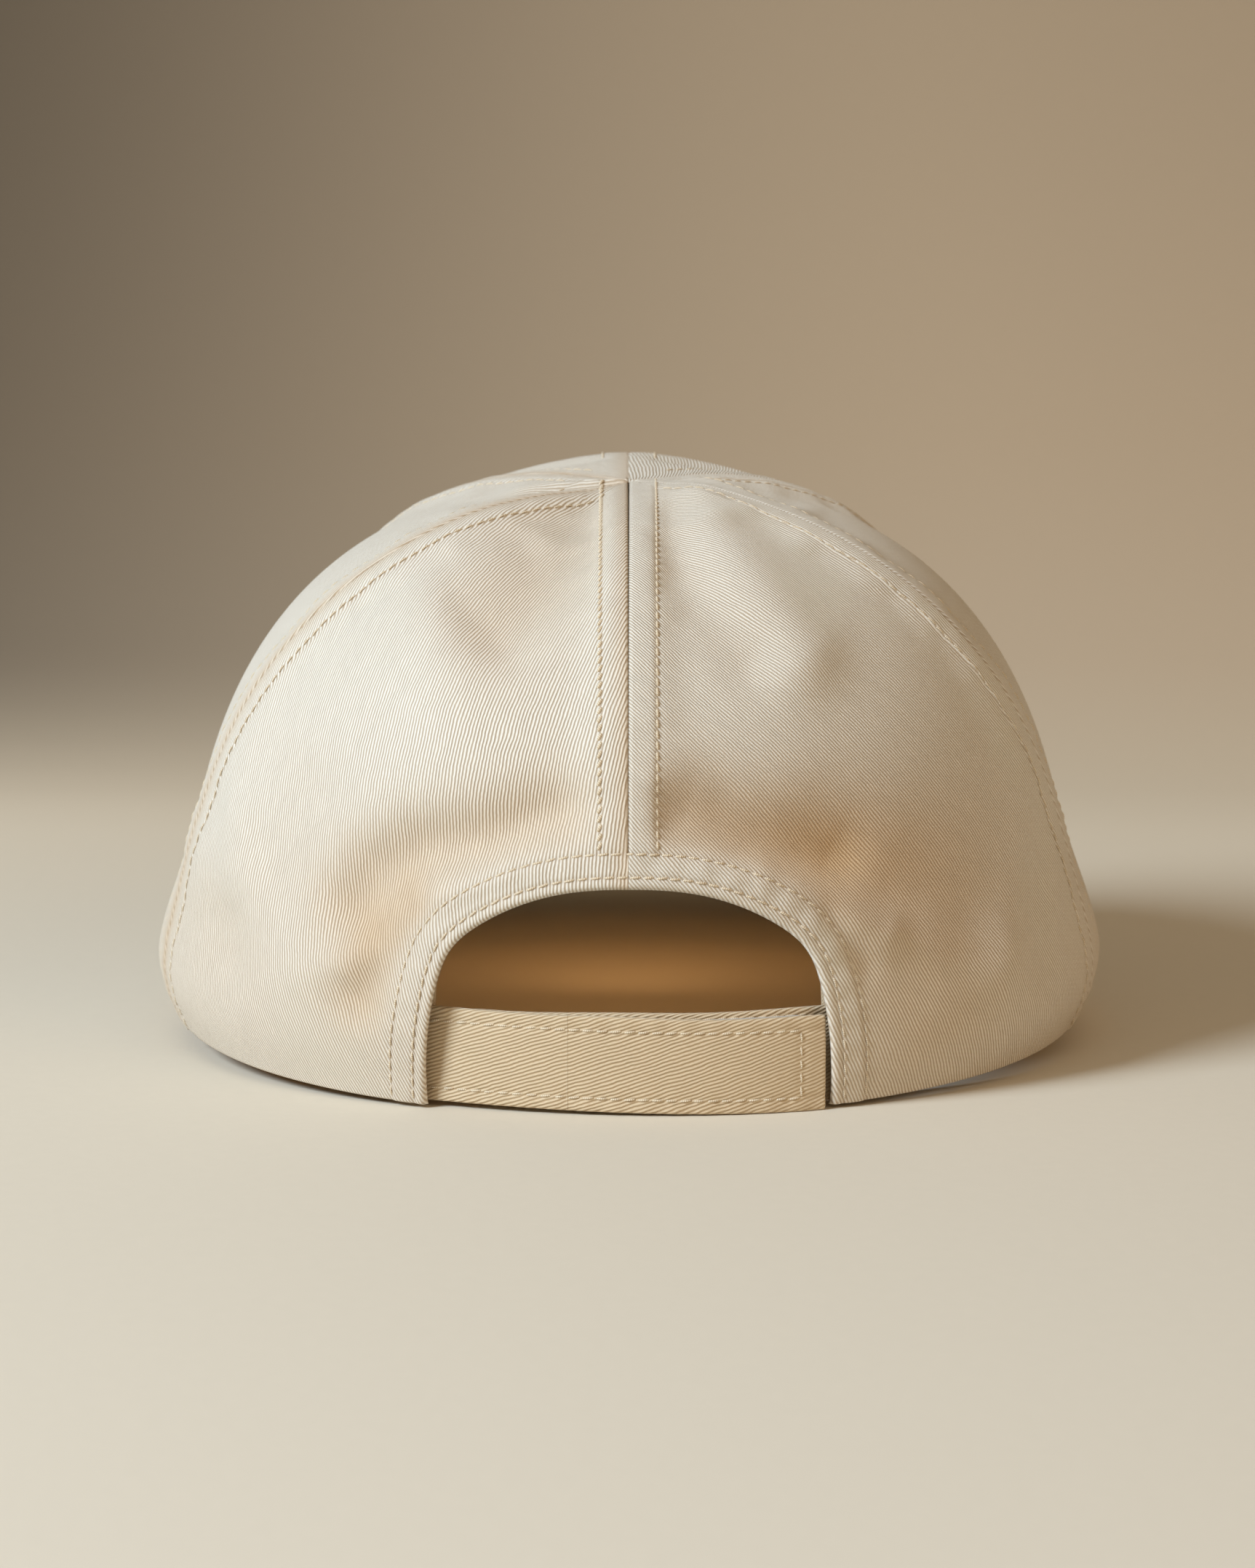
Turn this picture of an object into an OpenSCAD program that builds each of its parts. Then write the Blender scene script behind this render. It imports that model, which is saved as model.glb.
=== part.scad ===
// Six-panel baseball cap with a curved visor and a hook-and-loop back strap.
// The cap is drawn in its own hem frame (hem plane at z = 0, +Y towards the visor) and then
// tipped into the attitude it rests in, on its back strap and the two sides of its visor.

/* [Crown] */
// Half width of the crown at its widest
crown_half_width = 94; // [88:1:100]
// Depth from the widest section to the back of the crown
crown_back = 89; // [84:1:98]
// Depth from the widest section to the front of the crown
crown_front = 104; // [98:1:110]
// Height of the crown's top above the hem
crown_height = 110; // [100:1:125]
// How full the crown's shoulders are; 2 is an ellipse
fullness = 2.65; // [2.2:0.05:3]
// How flat the crown's top is; 2 is an ellipse
top_fullness = 2.5; // [2.2:0.05:3]
// Distance that the crown's top sits behind the widest section
top_setback = 3; // [0:0.5:10]
// Extra height of the stiffened front
front_rise = 6.5; // [0:0.5:10]
// Half width of that raised ridge
front_ridge = 31; // [18:1:40]
// Share by which the side hems draw in
hem_draw = 0.03; // [0:0.01:0.05]
// Share by which the sides bulge out above the hem
side_bulge = 0.04; // [0:0.01:0.06]
// Thickness of one layer of twill
twill = 0.8; // [0.6:0.1:1]

/* [Back opening] */
// Half width of the back opening at the hem
arch_half_width = 39; // [34:1:42]
// Height of the back opening
arch_height = 44; // [38:1:48]
// Drop of the opening's edge from its middle to its shoulders
arch_drop = 12.5; // [8:0.5:16]
// Width of the binding inside the opening's edge
binding_width = 9; // [7:0.5:11]

/* [Seams] */
// Angle of the rear side seam from the centre back, at the hem
rear_seam = 76; // [72:1:80]
// Angle by which that seam swings backwards on its way to the top
rear_swing = 20; // [10:1:24]
// Angle of the front side seam from the centre back, at the hem
front_seam = 127; // [122:1:130]
// Angle by which that seam swings backwards on its way to the top
front_swing = 7; // [0:1:10]
// Width of the tape over each seam's inside
tape_width = 12; // [10:1:14]
// Distance from a seam to the topstitching on either side of it
stitch_offset = 5.5; // [4.5:0.5:7]

/* [Sweatband] */
// Height of the sweatband
band_height = 30; // [26:1:34]

/* [Visor] */
// Half width of the visor at its widest
visor_half_width = 88; // [84:1:92]
// Length of the visor in front of the crown
visor_length = 69; // [62:1:74]
// Radius that the visor is bent to, across its width
visor_bend = 200; // [170:5:260]
// Downward slope of the visor
visor_slope = 8; // [5:0.5:11]
// Thickness of the plastic board in the visor
board = 1.8; // [1.5:0.1:2.2]
// Rows of stitching through the visor
visor_rows = 6; // [4:1:8]

/* [Straps] */
// Width of both straps
strap_width = 18.5; // [16:0.5:20]
// Thickness of both straps
strap = 1.4; // [1.2:0.1:1.6]
// Thickness of the hook tape and of the loop tape
tape_pile = 0.8; // [0.6:0.1:1]
// Length of the pull tab at the outer strap's end
tab_length = 21; // [16:1:26]

/* [Hidden] */

cream = [0.93, 0.90, 0.82];
lining = [0.88, 0.84, 0.74];
pile_grey = [0.82, 0.81, 0.78];
board_white = [0.92, 0.92, 0.90];
thread = [0.90, 0.86, 0.76];

layer_gap = 0.3;                       // air between neighbouring layers
seam_gap = 0.06;                       // half the gap between neighbouring panels
draw_height = 16;                      // height over which the hem draws in
bulge_height = 13;                     // height of the bulge's middle, and its half height
bulge_spread = 19;
apex_radius = 1.5;                     // the panels stop this far from the crown's top
second_layer = twill + layer_gap;      // depth of the binding and the front backing
binding = 0.5;                         // thickness of binding, backing and tape
third_layer = second_layer + binding + layer_gap + 0.05;
strap_lean = 0.75;                     // how far the upright straps sit inside the leaning crown
crown_lean = 1.45;                     // how far the crown leans back over the straps' height
band_layer = third_layer + strap_lean + strap + crown_lean + layer_gap;
band_thick = 0.9;
cover = 0.7;                           // thickness of the visor's covers

// ---- crown surface ----------------------------------------------------------------------
// th is the angle from the centre back, phi runs from 0 at the hem to 90 at the top.

function depth_at(th) = cos(th) > 0 ? crown_back : crown_front;
function round_r(phi) = pow(max(0, cos(phi)), 2 / fullness);
function round_z(phi) = pow(max(0, sin(phi)), 2 / top_fullness);
function phi_at_radius(share) = acos(pow(min(1, share), fullness / 2));
function phi_at_height(z) = asin(pow(max(0, z) / crown_height, top_fullness / 2));
function girth(th, z) = 1 + pow(sin(th), 2) * (
    side_bulge * exp(-pow((z - bulge_height) / bulge_spread, 2))
    - hem_draw * pow(max(0, 1 - z / draw_height), 2));
function hem_xy(th) = girth(th, 0) * [crown_half_width * sin(th), -depth_at(th) * cos(th)];

visor_start = 122;                     // angle of the visor's corners from the centre back
// Height of the visor's middle surface, which the front hem follows
visor_root_x = hem_xy(visor_start)[0];
visor_root_y = hem_xy(visor_start)[1];
visor_mid_y = hem_xy(180)[1];
visor_rise = visor_root_x * visor_root_x / (2 * visor_bend)
    + (visor_root_y - visor_mid_y) * tan(visor_slope);
function visor_z(x, y) = visor_rise - x * x / (2 * visor_bend) - (y - visor_mid_y) * tan(visor_slope);
function hem_z(th) = let(a = min(abs(th), 360 - abs(th)))
    a < visor_start ? 0
    : max(0, visor_z(hem_xy(a)[0], hem_xy(a)[1]));

function crown_point(th, phi) = let(
        c = round_r(phi),
        s = round_z(phi),
        z = crown_height * s,
        x = crown_half_width * c * sin(th) * girth(th, z),
        y = -depth_at(th) * c * cos(th) * girth(th, z) - top_setback * s,
        front = pow(max(0, -cos(th)), 1.5),
        rise = front_rise * front * sin(2 * phi) * exp(-pow(x / front_ridge, 2))
    ) [x, y, z + rise + hem_z(th) * (1 - s)];

function unit(v) = v / norm(v);
function crown_normal(th, phi) = let(
        p = min(phi, 88),
        q = max(p - 1, 0)
    ) unit(cross(crown_point(th + 1, p) - crown_point(th - 1, p), crown_point(th, p + 1) - crown_point(th, q)));
// A point at a depth below the crown's outer face
function skin(th, phi, depth) = crown_point(th, phi) - depth * crown_normal(th, phi);

function lerp(a, b, t) = a + (b - a) * t;
top_phi = phi_at_radius(apex_radius / crown_half_width);
// Rows of points up the crown, closer together near the hem
panel_rows = 16;
row_power = 1.3;
function row_phi(row) = top_phi * pow(row / panel_rows, row_power);
function seam_angle(i, phi) = i == 0 ? 0
    : i == 1 ? rear_seam - rear_swing * pow(sin(phi), 2)
    : i == 2 ? front_seam - front_swing * pow(sin(phi), 2)
    : 180;
// Angle that a distance along the surface spans at this height
function span(dist, phi) = asin(min(1, dist / (crown_half_width * max(round_r(phi), 0.008))));

// ---- the back opening's edge ------------------------------------------------------------
// t runs from 0 at the hem, over the shoulder at 0.5, to 1 at the centre back. Gives [x, z].

shoulder = 20;                         // higher is squarer
shoulder_k = pow(0.5, 1 / shoulder);
arch_taper = 4;                        // how much narrower the opening is at its shoulders
function partner(u) = pow(max(0, 1 - pow(u, shoulder)), 1 / shoulder);
function arch_xz(t) = let(
        u = t < 0.5 ? partner(2 * shoulder_k * t) : 2 * shoulder_k * (1 - t),
        w = t < 0.5 ? 2 * shoulder_k * t : partner(2 * shoulder_k * (1 - t)),
        x = (arch_half_width - arch_taper * pow(w, 3)) * u
    ) [x, (arch_height - arch_drop * pow(x / (arch_half_width - arch_taper), 2.45)) * w];
// Moved outwards from the edge by a distance, in the plane of the opening
function arch_offset(t, dist) = let(
        a = arch_xz(max(0, t - 0.01)),
        b = arch_xz(min(1, t + 0.01)),
        along = unit(b - a),
        p = arch_xz(t)
    ) [max(0, p[0] + dist * along[1]), max(0, p[1] - dist * along[0])];
function arch_phi(xz) = phi_at_height(xz[1]);
function arch_theta(xz) = asin(xz[0] / (crown_half_width * round_r(arch_phi(xz))));
function arch_skin(t, dist, depth) = let(xz = arch_offset(t, dist)) skin(arch_theta(xz), arch_phi(xz), depth);

// ---- grid solids ------------------------------------------------------------------------
// face and back are grids of points [row][column]; notch = [rows, columns] is left out at the
// first corner. The solid is closed all round.

function flat(grid) = [for (row = grid) for (p = row) p];
module sheet(face, back, notch = [0, 0]) {
    rows = len(face) - 1;
    cols = len(face[0]) - 1;
    n = (rows + 1) * (cols + 1);
    function id(r, c) = r * (cols + 1) + c;
    function kept(r, c) = r >= 0 && c >= 0 && r < rows && c < cols && !(r < notch[0] && c < notch[1]);
    function wall(a, b) = [[a, b, b + n], [a, b + n, a + n]];
    cells = [for (r = [0:rows - 1]) for (c = [0:cols - 1]) if (kept(r, c)) [r, c]];
    front_faces = [for (q = cells) let(r = q[0], c = q[1])
        for (f = [[id(r, c), id(r + 1, c), id(r + 1, c + 1)], [id(r, c), id(r + 1, c + 1), id(r, c + 1)]]) f];
    back_faces = [for (f = front_faces) [f[0] + n, f[2] + n, f[1] + n]];
    walls = [for (q = cells) let(r = q[0], c = q[1]) each concat(
        kept(r - 1, c) ? [] : wall(id(r, c), id(r, c + 1)),
        kept(r + 1, c) ? [] : wall(id(r + 1, c + 1), id(r + 1, c)),
        kept(r, c - 1) ? [] : wall(id(r + 1, c), id(r, c)),
        kept(r, c + 1) ? [] : wall(id(r, c + 1), id(r + 1, c + 1)))];
    polyhedron(points = concat(flat(face), flat(back)), faces = concat(front_faces, back_faces, walls));
}

// The crown and visor, tipped into their resting attitude
module at_rest() {
    translate([0, -middle_y, lift]) rotate([tip, 0, 0]) children();
}

// The straps, which stand upright on the resting surface
module upright() {
    translate([0, -middle_y, 0]) children();
}

module on_left() {
    mirror([1, 0, 0]) children();
}

// ---- crown panels -----------------------------------------------------------------------

arch_rows = 5;                         // rows beside the opening
arch_cols = 5;                         // columns above the opening
rear_cols = 12;
upper_rows = 11;
shoulder_phi = phi_at_height(30);      // where the shoulder's row meets the side seam

function rear_bottom(c) = c <= arch_cols
    ? let(xz = arch_xz(1 - 0.5 * c / arch_cols)) [arch_theta(xz), arch_phi(xz)]
    : let(xz = arch_xz(0.5), t = (c - arch_cols) / (rear_cols - arch_cols))
        [lerp(arch_theta(xz), seam_angle(1, shoulder_phi), t), lerp(arch_phi(xz), shoulder_phi, t)];
function rear_upper(c, t) = let(
        start = rear_bottom(c),
        phi = lerp(start[1], top_phi, t),
        share = lerp(start[0] / seam_angle(1, start[1]), c / rear_cols, t)
    ) [share * seam_angle(1, phi), phi];
function rear_lower(c, t) = let(
        xz = arch_xz(0.5 * t),
        u = max(0, c - arch_cols) / (rear_cols - arch_cols),
        phi = shoulder_phi * t
    ) [lerp(arch_theta(xz), seam_angle(1, phi), u), lerp(arch_phi(xz), phi, u)];
function rear_angles(r, c) = let(
        p = r < arch_rows ? rear_lower(c, r / arch_rows) : rear_upper(c, (r - arch_rows) / upper_rows),
        gap = span(seam_gap, p[1])
    ) [c == 0 && r >= arch_rows ? gap : c == rear_cols ? p[0] - gap : p[0], p[1]];
module rear_panel() {
    rows = arch_rows + upper_rows;
    function grid(depth) = [for (r = [0:rows]) [for (c = [0:rear_cols])
        let(p = rear_angles(r, c)) skin(p[0], p[1], depth)]];
    color(cream) sheet(grid(0), grid(twill), [arch_rows, arch_cols]);
}

panel_cols = 9;
// The panel between seam i and the next one, between two rows, at a depth
function panel_grid(i, depth, inset, row_from, row_to) = [for (r = [row_from:row_to])
    let(phi = row_phi(r), gap = span(inset, phi))
    [for (c = [0:panel_cols])
        skin(lerp(seam_angle(i, phi) + gap, seam_angle(i + 1, phi) - gap, c / panel_cols), phi, depth)]];
module panel(i) {
    color(cream) sheet(
        panel_grid(i, 0, seam_gap, 0, panel_rows),
        panel_grid(i, twill, seam_gap, 0, panel_rows));
}

module front_backing() {
    inset = 1.5;
    last_row = panel_rows - 3;
    color(board_white) sheet(
        panel_grid(2, second_layer, inset, 1, last_row),
        panel_grid(2, second_layer + binding, inset, 1, last_row));
}

// ---- tapes, binding and sweatband inside the crown --------------------------------------

// A point beside the centre line, given on which side of the top it is (th 0 or 180)
function beside_center(th, phi, dist, depth) = let(c = round_r(phi))
    c < 0.5
    ? let(x = dist / crown_half_width, q = phi_at_radius(norm([x, c])), a = atan2(x, c))
        skin(th == 0 ? a : 180 - a, q, depth)
    : skin(th == 0 ? asin(x_share(dist, phi)) : 180 - asin(x_share(dist, phi)), phi, depth);
function x_share(dist, phi) = dist / (crown_half_width * round_r(phi));

module seam_tape_center() {
    steps = 16;
    back_phi = arch_phi([0, arch_height + 1]);
    front_phi = row_phi(1.4);
    function row(th, phi, depth) = [for (d = [-1, 0, 1]) beside_center(th, phi, d * tape_width / 2, depth)];
    function grid(depth) = concat(
        [for (i = [0:steps]) row(0, lerp(back_phi, 89, i / steps), depth)],
        [for (i = [0:steps]) row(180, lerp(89, front_phi, i / steps), depth)]);
    color(lining) sheet(grid(third_layer), grid(third_layer + binding));
}

module seam_tape(i) {
    top = phi_at_radius(14 / crown_half_width);
    start = i == 1 ? 0.2 : 1;
    function row(phi, depth) = [for (d = [-1, 0, 1]) skin(seam_angle(i, phi) + d * span(tape_width / 2, phi), phi, depth)];
    function grid(depth) = concat(
        [row(row_phi(start), depth)],
        [for (r = [floor(start) + 1:panel_rows - 1]) row(row_phi(r), depth)],
        [row(top, depth)]);
    color(lining) sheet(grid(third_layer), grid(third_layer + binding));
}

module arch_binding() {
    steps = 24;
    // Runs from one hem corner over the centre back to the other
    function side(k) = k <= steps / 2 ? 1 : -1;
    function t_at(k) = k <= steps / 2 ? 2 * k / steps : 2 - 2 * k / steps;
    function place(k, dist, depth) = let(p = arch_skin(t_at(k), dist, depth)) [side(k) * p[0], p[1], p[2]];
    function grid(depth) = [for (k = [0:steps]) [for (d = [0, 0.5, 1]) place(k, 0.3 + d * binding_width, depth)]];
    color(lining) sheet(grid(second_layer), grid(second_layer + binding));
}

// The band passes inside the straps' sewn-in ends and lies closer to the crown beyond them
band_start = arch_theta([arch_half_width - 1.6, 0]);
band_settled = 52;
function band_depth(th) = let(
        a = min(th, 360 - th),
        t = max(0, min(1, (band_settled - a) / (band_settled - 33)))
    ) lerp(third_layer + cover + layer_gap + 0.2, band_layer, t * t * (3 - 2 * t));
module sweatband() {
    steps = 60;
    rows = 4;
    function grid(extra) = [for (r = [0:rows]) [for (k = [0:steps])
        let(th = lerp(band_start, 360 - band_start, k / steps))
        skin(th, phi_at_height(lerp(0.5, band_height, r / rows)), band_depth(th) + extra)]];
    color(lining) sheet(grid(0), grid(band_thick));
}

// ---- stitching on the crown -------------------------------------------------------------
// A row of stitches is a thin cord that lies on the fabric.

cord = 0.4;
cord_lift = 0.3;
module cord_along(points, normals) {
    n = len(points) - 1;
    function side(k) = unit(cross(normals[k], points[min(n, k + 1)] - points[max(0, k - 1)])) * cord / 2;
    low = [for (k = [0:n]) [points[k] - side(k) + cord_lift * normals[k], points[k] + side(k) + cord_lift * normals[k]]];
    high = [for (k = [0:n]) [low[k][0] + cord * normals[k], low[k][1] + cord * normals[k]]];
    sheet(high, low);
}

module seam_stitches(i, side, row_from) {
    phis = [row_phi(row_from), each [for (r = [ceil(row_from + 0.01):panel_rows]) row_phi(r)]];
    ths = [for (p = phis) seam_angle(i, p) + side * span(stitch_offset, p)];
    cord_along(
        [for (k = [0:len(phis) - 1]) crown_point(ths[k], phis[k])],
        [for (k = [0:len(phis) - 1]) crown_normal(ths[k], phis[k])]);
}

module crown_topstitching() {
    color(thread) for (flip = [0, 1]) mirror([flip, 0, 0]) {
        seam_stitches(0, 1, panel_rows * pow(arch_phi([0, arch_height + 8]) / top_phi, 1 / row_power));
        seam_stitches(1, -1, 0.2);
        seam_stitches(1, 1, 0.2);
        seam_stitches(2, -1, 0.2);
        seam_stitches(2, 1, 0.2);
        seam_stitches(3, -1, 0.2);
    }
}

module arch_topstitching() {
    steps = 28;
    function t_at(k) = k <= steps / 2 ? 2 * k / steps : 2 - 2 * k / steps;
    function turn(k, p) = k <= steps / 2 ? p : [-p[0], p[1], p[2]];
    color(thread) for (dist = [2.4, 6.4]) {
        spots = [for (k = [0:steps]) arch_offset(0.01 + 0.99 * t_at(k), dist)];
        cord_along(
            [for (k = [0:steps]) turn(k, crown_point(arch_theta(spots[k]), arch_phi(spots[k])))],
            [for (k = [0:steps]) turn(k, crown_normal(arch_theta(spots[k]), arch_phi(spots[k])))]);
    }
}

// ---- visor ------------------------------------------------------------------------------
// w runs from 0 at a corner to 1 at the centre front; edge is the outline's distance moved outwards.

side_share = 0.28;                     // share of the outline that is the visor's side
outline_power = 2 / 2.3;
visor_wide_y = 90;                     // where the visor is widest
row_spacing = (visor_length - 8) / visor_rows;
function visor_inner(w) = let(th = lerp(visor_start, 180, w), p = skin(th, 0, -0.35)) [p[0], p[1]];
function visor_outer(w, edge) = w < side_share
    ? let(t = 1 - w / side_share, y = visor_wide_y - t * (visor_wide_y - visor_root_y))
        [visor_half_width + edge - (visor_half_width - visor_root_x) * t * t, y]
    : let(a = 90 * (w - side_share) / (1 - side_share))
        [(visor_half_width + edge) * pow(cos(a), outline_power),
         visor_wide_y + (visor_mid_y + visor_length - visor_wide_y + edge) * pow(sin(a), outline_power)];
function visor_xy(w, r, edge) = lerp(visor_inner(w), visor_outer(w, edge), r);
visor_steps = 15;
function fan_share(k) = k <= visor_steps ? 0.015 + 0.985 * k / visor_steps : 2 - 0.015 - 0.985 * k / visor_steps;
function fan_side(k) = k <= visor_steps ? 1 : -1;
function visor_row(r, edge, up) = [for (k = [0:2 * visor_steps])
    let(p = visor_xy(fan_share(k), r, edge)) [fan_side(k) * p[0], p[1], visor_z(p[0], p[1]) + up]];
module visor_sheet(low, high, edge) {
    rows = 6;
    sheet([for (j = [0:rows]) visor_row(j / rows, edge, high)], [for (j = [0:rows]) visor_row(j / rows, edge, low)]);
}
half_board = board / 2;

module visor_board() {
    color(board_white) visor_sheet(-half_board, half_board, 0);
}

module visor_top_cover() {
    color(cream) visor_sheet(half_board + 0.06, half_board + 0.06 + cover, 1.2);
}

// The under cover turns up behind the front hem, where it is sewn in with the sweatband
module visor_under_cover() {
    low = -half_board - 0.06 - cover;
    turn_up = 8;
    function th_at(k) = k <= visor_steps ? lerp(visor_start, 180, fan_share(k)) : 360 - lerp(visor_start, 180, fan_share(k));
    function ring(z, depth, drop) = [for (k = [0:2 * visor_steps])
        skin(th_at(k), phi_at_height(z), depth) - [0, 0, drop]];
    top_side = concat(
        [ring(turn_up, third_layer, 0), ring(0, third_layer, half_board + 0.06)],
        [for (j = [0:6]) visor_row(j / 6, 1.2, low + cover)]);
    under_side = concat(
        [ring(turn_up, third_layer + cover, 0), ring(0, third_layer + cover, -low)],
        [for (j = [0:6]) visor_row(j / 6, 1.2, low)]);
    color(cream) sheet(top_side, under_side);
}

// Each row runs parallel to the visor's edge and ends where it meets the crown
module visor_stitching() {
    up = half_board + 0.06 + cover;
    steps = 12;
    function clear_of_hem(p) = norm([p[0] / (crown_half_width + 1.2), p[1] / (crown_front + 1.2)]) > 1;
    color(thread) for (j = [0:visor_rows - 1]) {
        inset = -4 - row_spacing * j;
        start = [for (w = [0:0.01:1]) if (clear_of_hem(visor_outer(w, inset))) w][0];
        spots = [for (k = [-steps:steps]) let(p = visor_outer(lerp(1, start, abs(k) / steps), inset))
            [(k < 0 ? 1 : -1) * p[0], p[1], visor_z(p[0], p[1]) + up]];
        cord_along(spots, [for (p = spots) unit([p[0] / visor_bend, tan(visor_slope), 1])]);
    }
}

// ---- attitude at rest -------------------------------------------------------------------

hem_back_y = crown_back;
// The visor's lowest edge, found along its outline
visor_low = min([for (w = [0:0.02:1]) let(p = visor_outer(w, 1.2)) rest_slope(p)]);
function rest_slope(p) = (visor_z(p[0], p[1]) - half_board - cover - 0.1) / (p[1] + hem_back_y);
tip = atan(-visor_low);
lift = hem_back_y * sin(tip);
middle_y = (visor_mid_y + visor_length - crown_back) / 2;   // the origin is midway from front to back

// ---- straps -----------------------------------------------------------------------------
// The straps stand upright on the resting surface. s runs from 0 at the opening's left edge to 1
// at its right edge, and depth is measured inwards from the crown's outer face at the left edge.

strap_rx = crown_half_width - strap_lean;
strap_ry = crown_back - strap_lean;
strap_edge = asin((arch_half_width - 0.6) / strap_rx);
contact = 0.06;                        // air between the pressed-together straps and tapes
strap_rise = strap + 2 * tape_pile + 3 * contact;   // the outer strap's climb over the inner one
strap_length = 2 * strap_edge / 180 * PI * (strap_rx + strap_ry) / 2;
function climb(s) = let(t = min(1, max(0, s))) t * t * (3 - 2 * t) * strap_rise;
function strap_xy(s, depth) = let(
        th = lerp(-strap_edge, strap_edge, s),
        p = [strap_rx * sin(th), -strap_ry * cos(th)],
        n = unit([sin(th) / strap_rx, -cos(th) / strap_ry])
    ) p + n * (climb(s) - depth);
module strap_band(s0, s1, depth0, depth1, z0, z1) {
    steps = max(3, ceil(26 * (s1 - s0)));
    outline = concat(
        [for (k = [0:steps]) strap_xy(lerp(s0, s1, k / steps), depth0)],
        [for (k = [steps:-1:0]) strap_xy(lerp(s0, s1, k / steps), depth1)]);
    translate([0, 0, z0]) linear_extrude(z1 - z0) polygon(outline);
}
function share_of(length) = length / strap_length;

outer_depth = third_layer;
hook_depth = outer_depth + strap + contact;
loop_depth = hook_depth + tape_pile + contact;
inner_depth = loop_depth + tape_pile + contact;
anchor = 10;                           // length sewn in behind the panel
outer_root = share_of(0.8);            // where the outer strap bends
inner_root = 1 - share_of(3.2);        // where the inner strap bends
outer_end = 1 - share_of(1.0);
tab_start = outer_end - share_of(tab_length);
inner_end = share_of(7);
bend_gap = share_of(0.08);
tape_inset = 1.2;

module outer_strap_anchor() {
    color(cream) strap_band(-share_of(anchor), outer_root - bend_gap, outer_depth, outer_depth + strap, 0, strap_width);
}
module outer_strap() {
    color(cream) strap_band(outer_root + bend_gap, tab_start - bend_gap, outer_depth, outer_depth + strap, 0, strap_width);
}
module outer_strap_tab() {
    color(cream) strap_band(tab_start + bend_gap, outer_end, outer_depth, outer_depth + strap, 0, strap_width);
}
module hook_tape() {
    color(pile_grey) strap_band(share_of(16), tab_start - bend_gap, hook_depth, hook_depth + tape_pile, tape_inset, strap_width - tape_inset);
}
module hook_tape_tab() {
    color(pile_grey) strap_band(tab_start + bend_gap, outer_end - share_of(6), hook_depth, hook_depth + tape_pile, tape_inset, strap_width - tape_inset);
}
module inner_strap_anchor() {
    color(cream) strap_band(inner_root + bend_gap, 1 + share_of(anchor), inner_depth, inner_depth + strap, 0, strap_width);
}
module inner_strap() {
    color(cream) strap_band(inner_end, inner_root - bend_gap, inner_depth, inner_depth + strap, 0, strap_width);
}
module loop_tape() {
    color(pile_grey) strap_band(inner_end + share_of(2), inner_root - share_of(2), loop_depth, loop_depth + tape_pile, tape_inset, strap_width - tape_inset);
}

// ---- nodes ------------------------------------------------------------------------------

at_rest() on_left() rear_panel();  // rear_panel_left
at_rest() rear_panel();  // rear_panel_right
at_rest() on_left() panel(1);  // side_panel_left
at_rest() panel(1);  // side_panel_right
at_rest() on_left() panel(2);  // front_panel_left
at_rest() panel(2);  // front_panel_right
at_rest() on_left() front_backing();  // front_backing_left
at_rest() front_backing();  // front_backing_right
at_rest() seam_tape_center();
at_rest() on_left() seam_tape(1);  // seam_tape_rear_left
at_rest() seam_tape(1);  // seam_tape_rear_right
at_rest() on_left() seam_tape(2);  // seam_tape_front_left
at_rest() seam_tape(2);  // seam_tape_front_right
at_rest() arch_binding();
at_rest() sweatband();
at_rest() crown_topstitching();
at_rest() arch_topstitching();
at_rest() visor_board();
at_rest() visor_top_cover();
at_rest() visor_under_cover();
at_rest() visor_stitching();
upright() outer_strap_anchor();
upright() outer_strap();
upright() outer_strap_tab();
upright() hook_tape();
upright() hook_tape_tab();
upright() inner_strap_anchor();
upright() inner_strap();
upright() loop_tape();
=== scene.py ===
"""Baseball cap: cloth panels, tapes, stitches, visor and straps built round the CAD frame."""

import math
import bpy
import numpy as np
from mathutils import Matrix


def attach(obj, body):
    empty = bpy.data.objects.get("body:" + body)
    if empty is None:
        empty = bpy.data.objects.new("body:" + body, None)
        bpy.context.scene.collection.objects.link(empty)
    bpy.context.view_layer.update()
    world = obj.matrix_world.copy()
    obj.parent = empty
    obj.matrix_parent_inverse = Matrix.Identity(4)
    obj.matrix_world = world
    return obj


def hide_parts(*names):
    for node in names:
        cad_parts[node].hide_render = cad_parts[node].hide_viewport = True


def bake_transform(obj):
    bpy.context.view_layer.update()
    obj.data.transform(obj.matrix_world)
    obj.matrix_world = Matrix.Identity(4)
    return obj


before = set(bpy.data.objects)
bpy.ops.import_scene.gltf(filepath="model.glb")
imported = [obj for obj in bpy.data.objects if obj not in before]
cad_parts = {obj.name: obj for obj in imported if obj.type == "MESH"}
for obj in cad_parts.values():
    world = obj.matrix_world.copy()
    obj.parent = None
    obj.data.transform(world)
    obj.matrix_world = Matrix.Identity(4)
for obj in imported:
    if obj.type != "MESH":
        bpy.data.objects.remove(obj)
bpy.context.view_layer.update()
rng = np.random.default_rng(7)

# ---- measures, in millimetres and degrees --------------------------------------------------------

CROWN_HALF_WIDTH = 94.0
CROWN_BACK = 89.0
CROWN_FRONT = 104.0
CROWN_HEIGHT = 110.0
FULLNESS = 2.65                 # 2 would make the crown's profile an ellipse
TOP_FULLNESS = 2.5
TOP_SETBACK = 3.0
FRONT_RISE = 6.5
FRONT_RIDGE = 31.0
HEM_DRAW = 0.03
SIDE_BULGE = 0.04
TWILL = 0.8
DRAW_HEIGHT = 16.0
BULGE_HEIGHT = 13.0
BULGE_SPREAD = 19.0

ARCH_HALF_WIDTH = 39.0          # the opening at the back
ARCH_HEIGHT = 44.0
ARCH_DROP = 12.5
ARCH_TAPER = 4.0
ARCH_SHOULDER = 20
BINDING_WIDTH = 9.0

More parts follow.
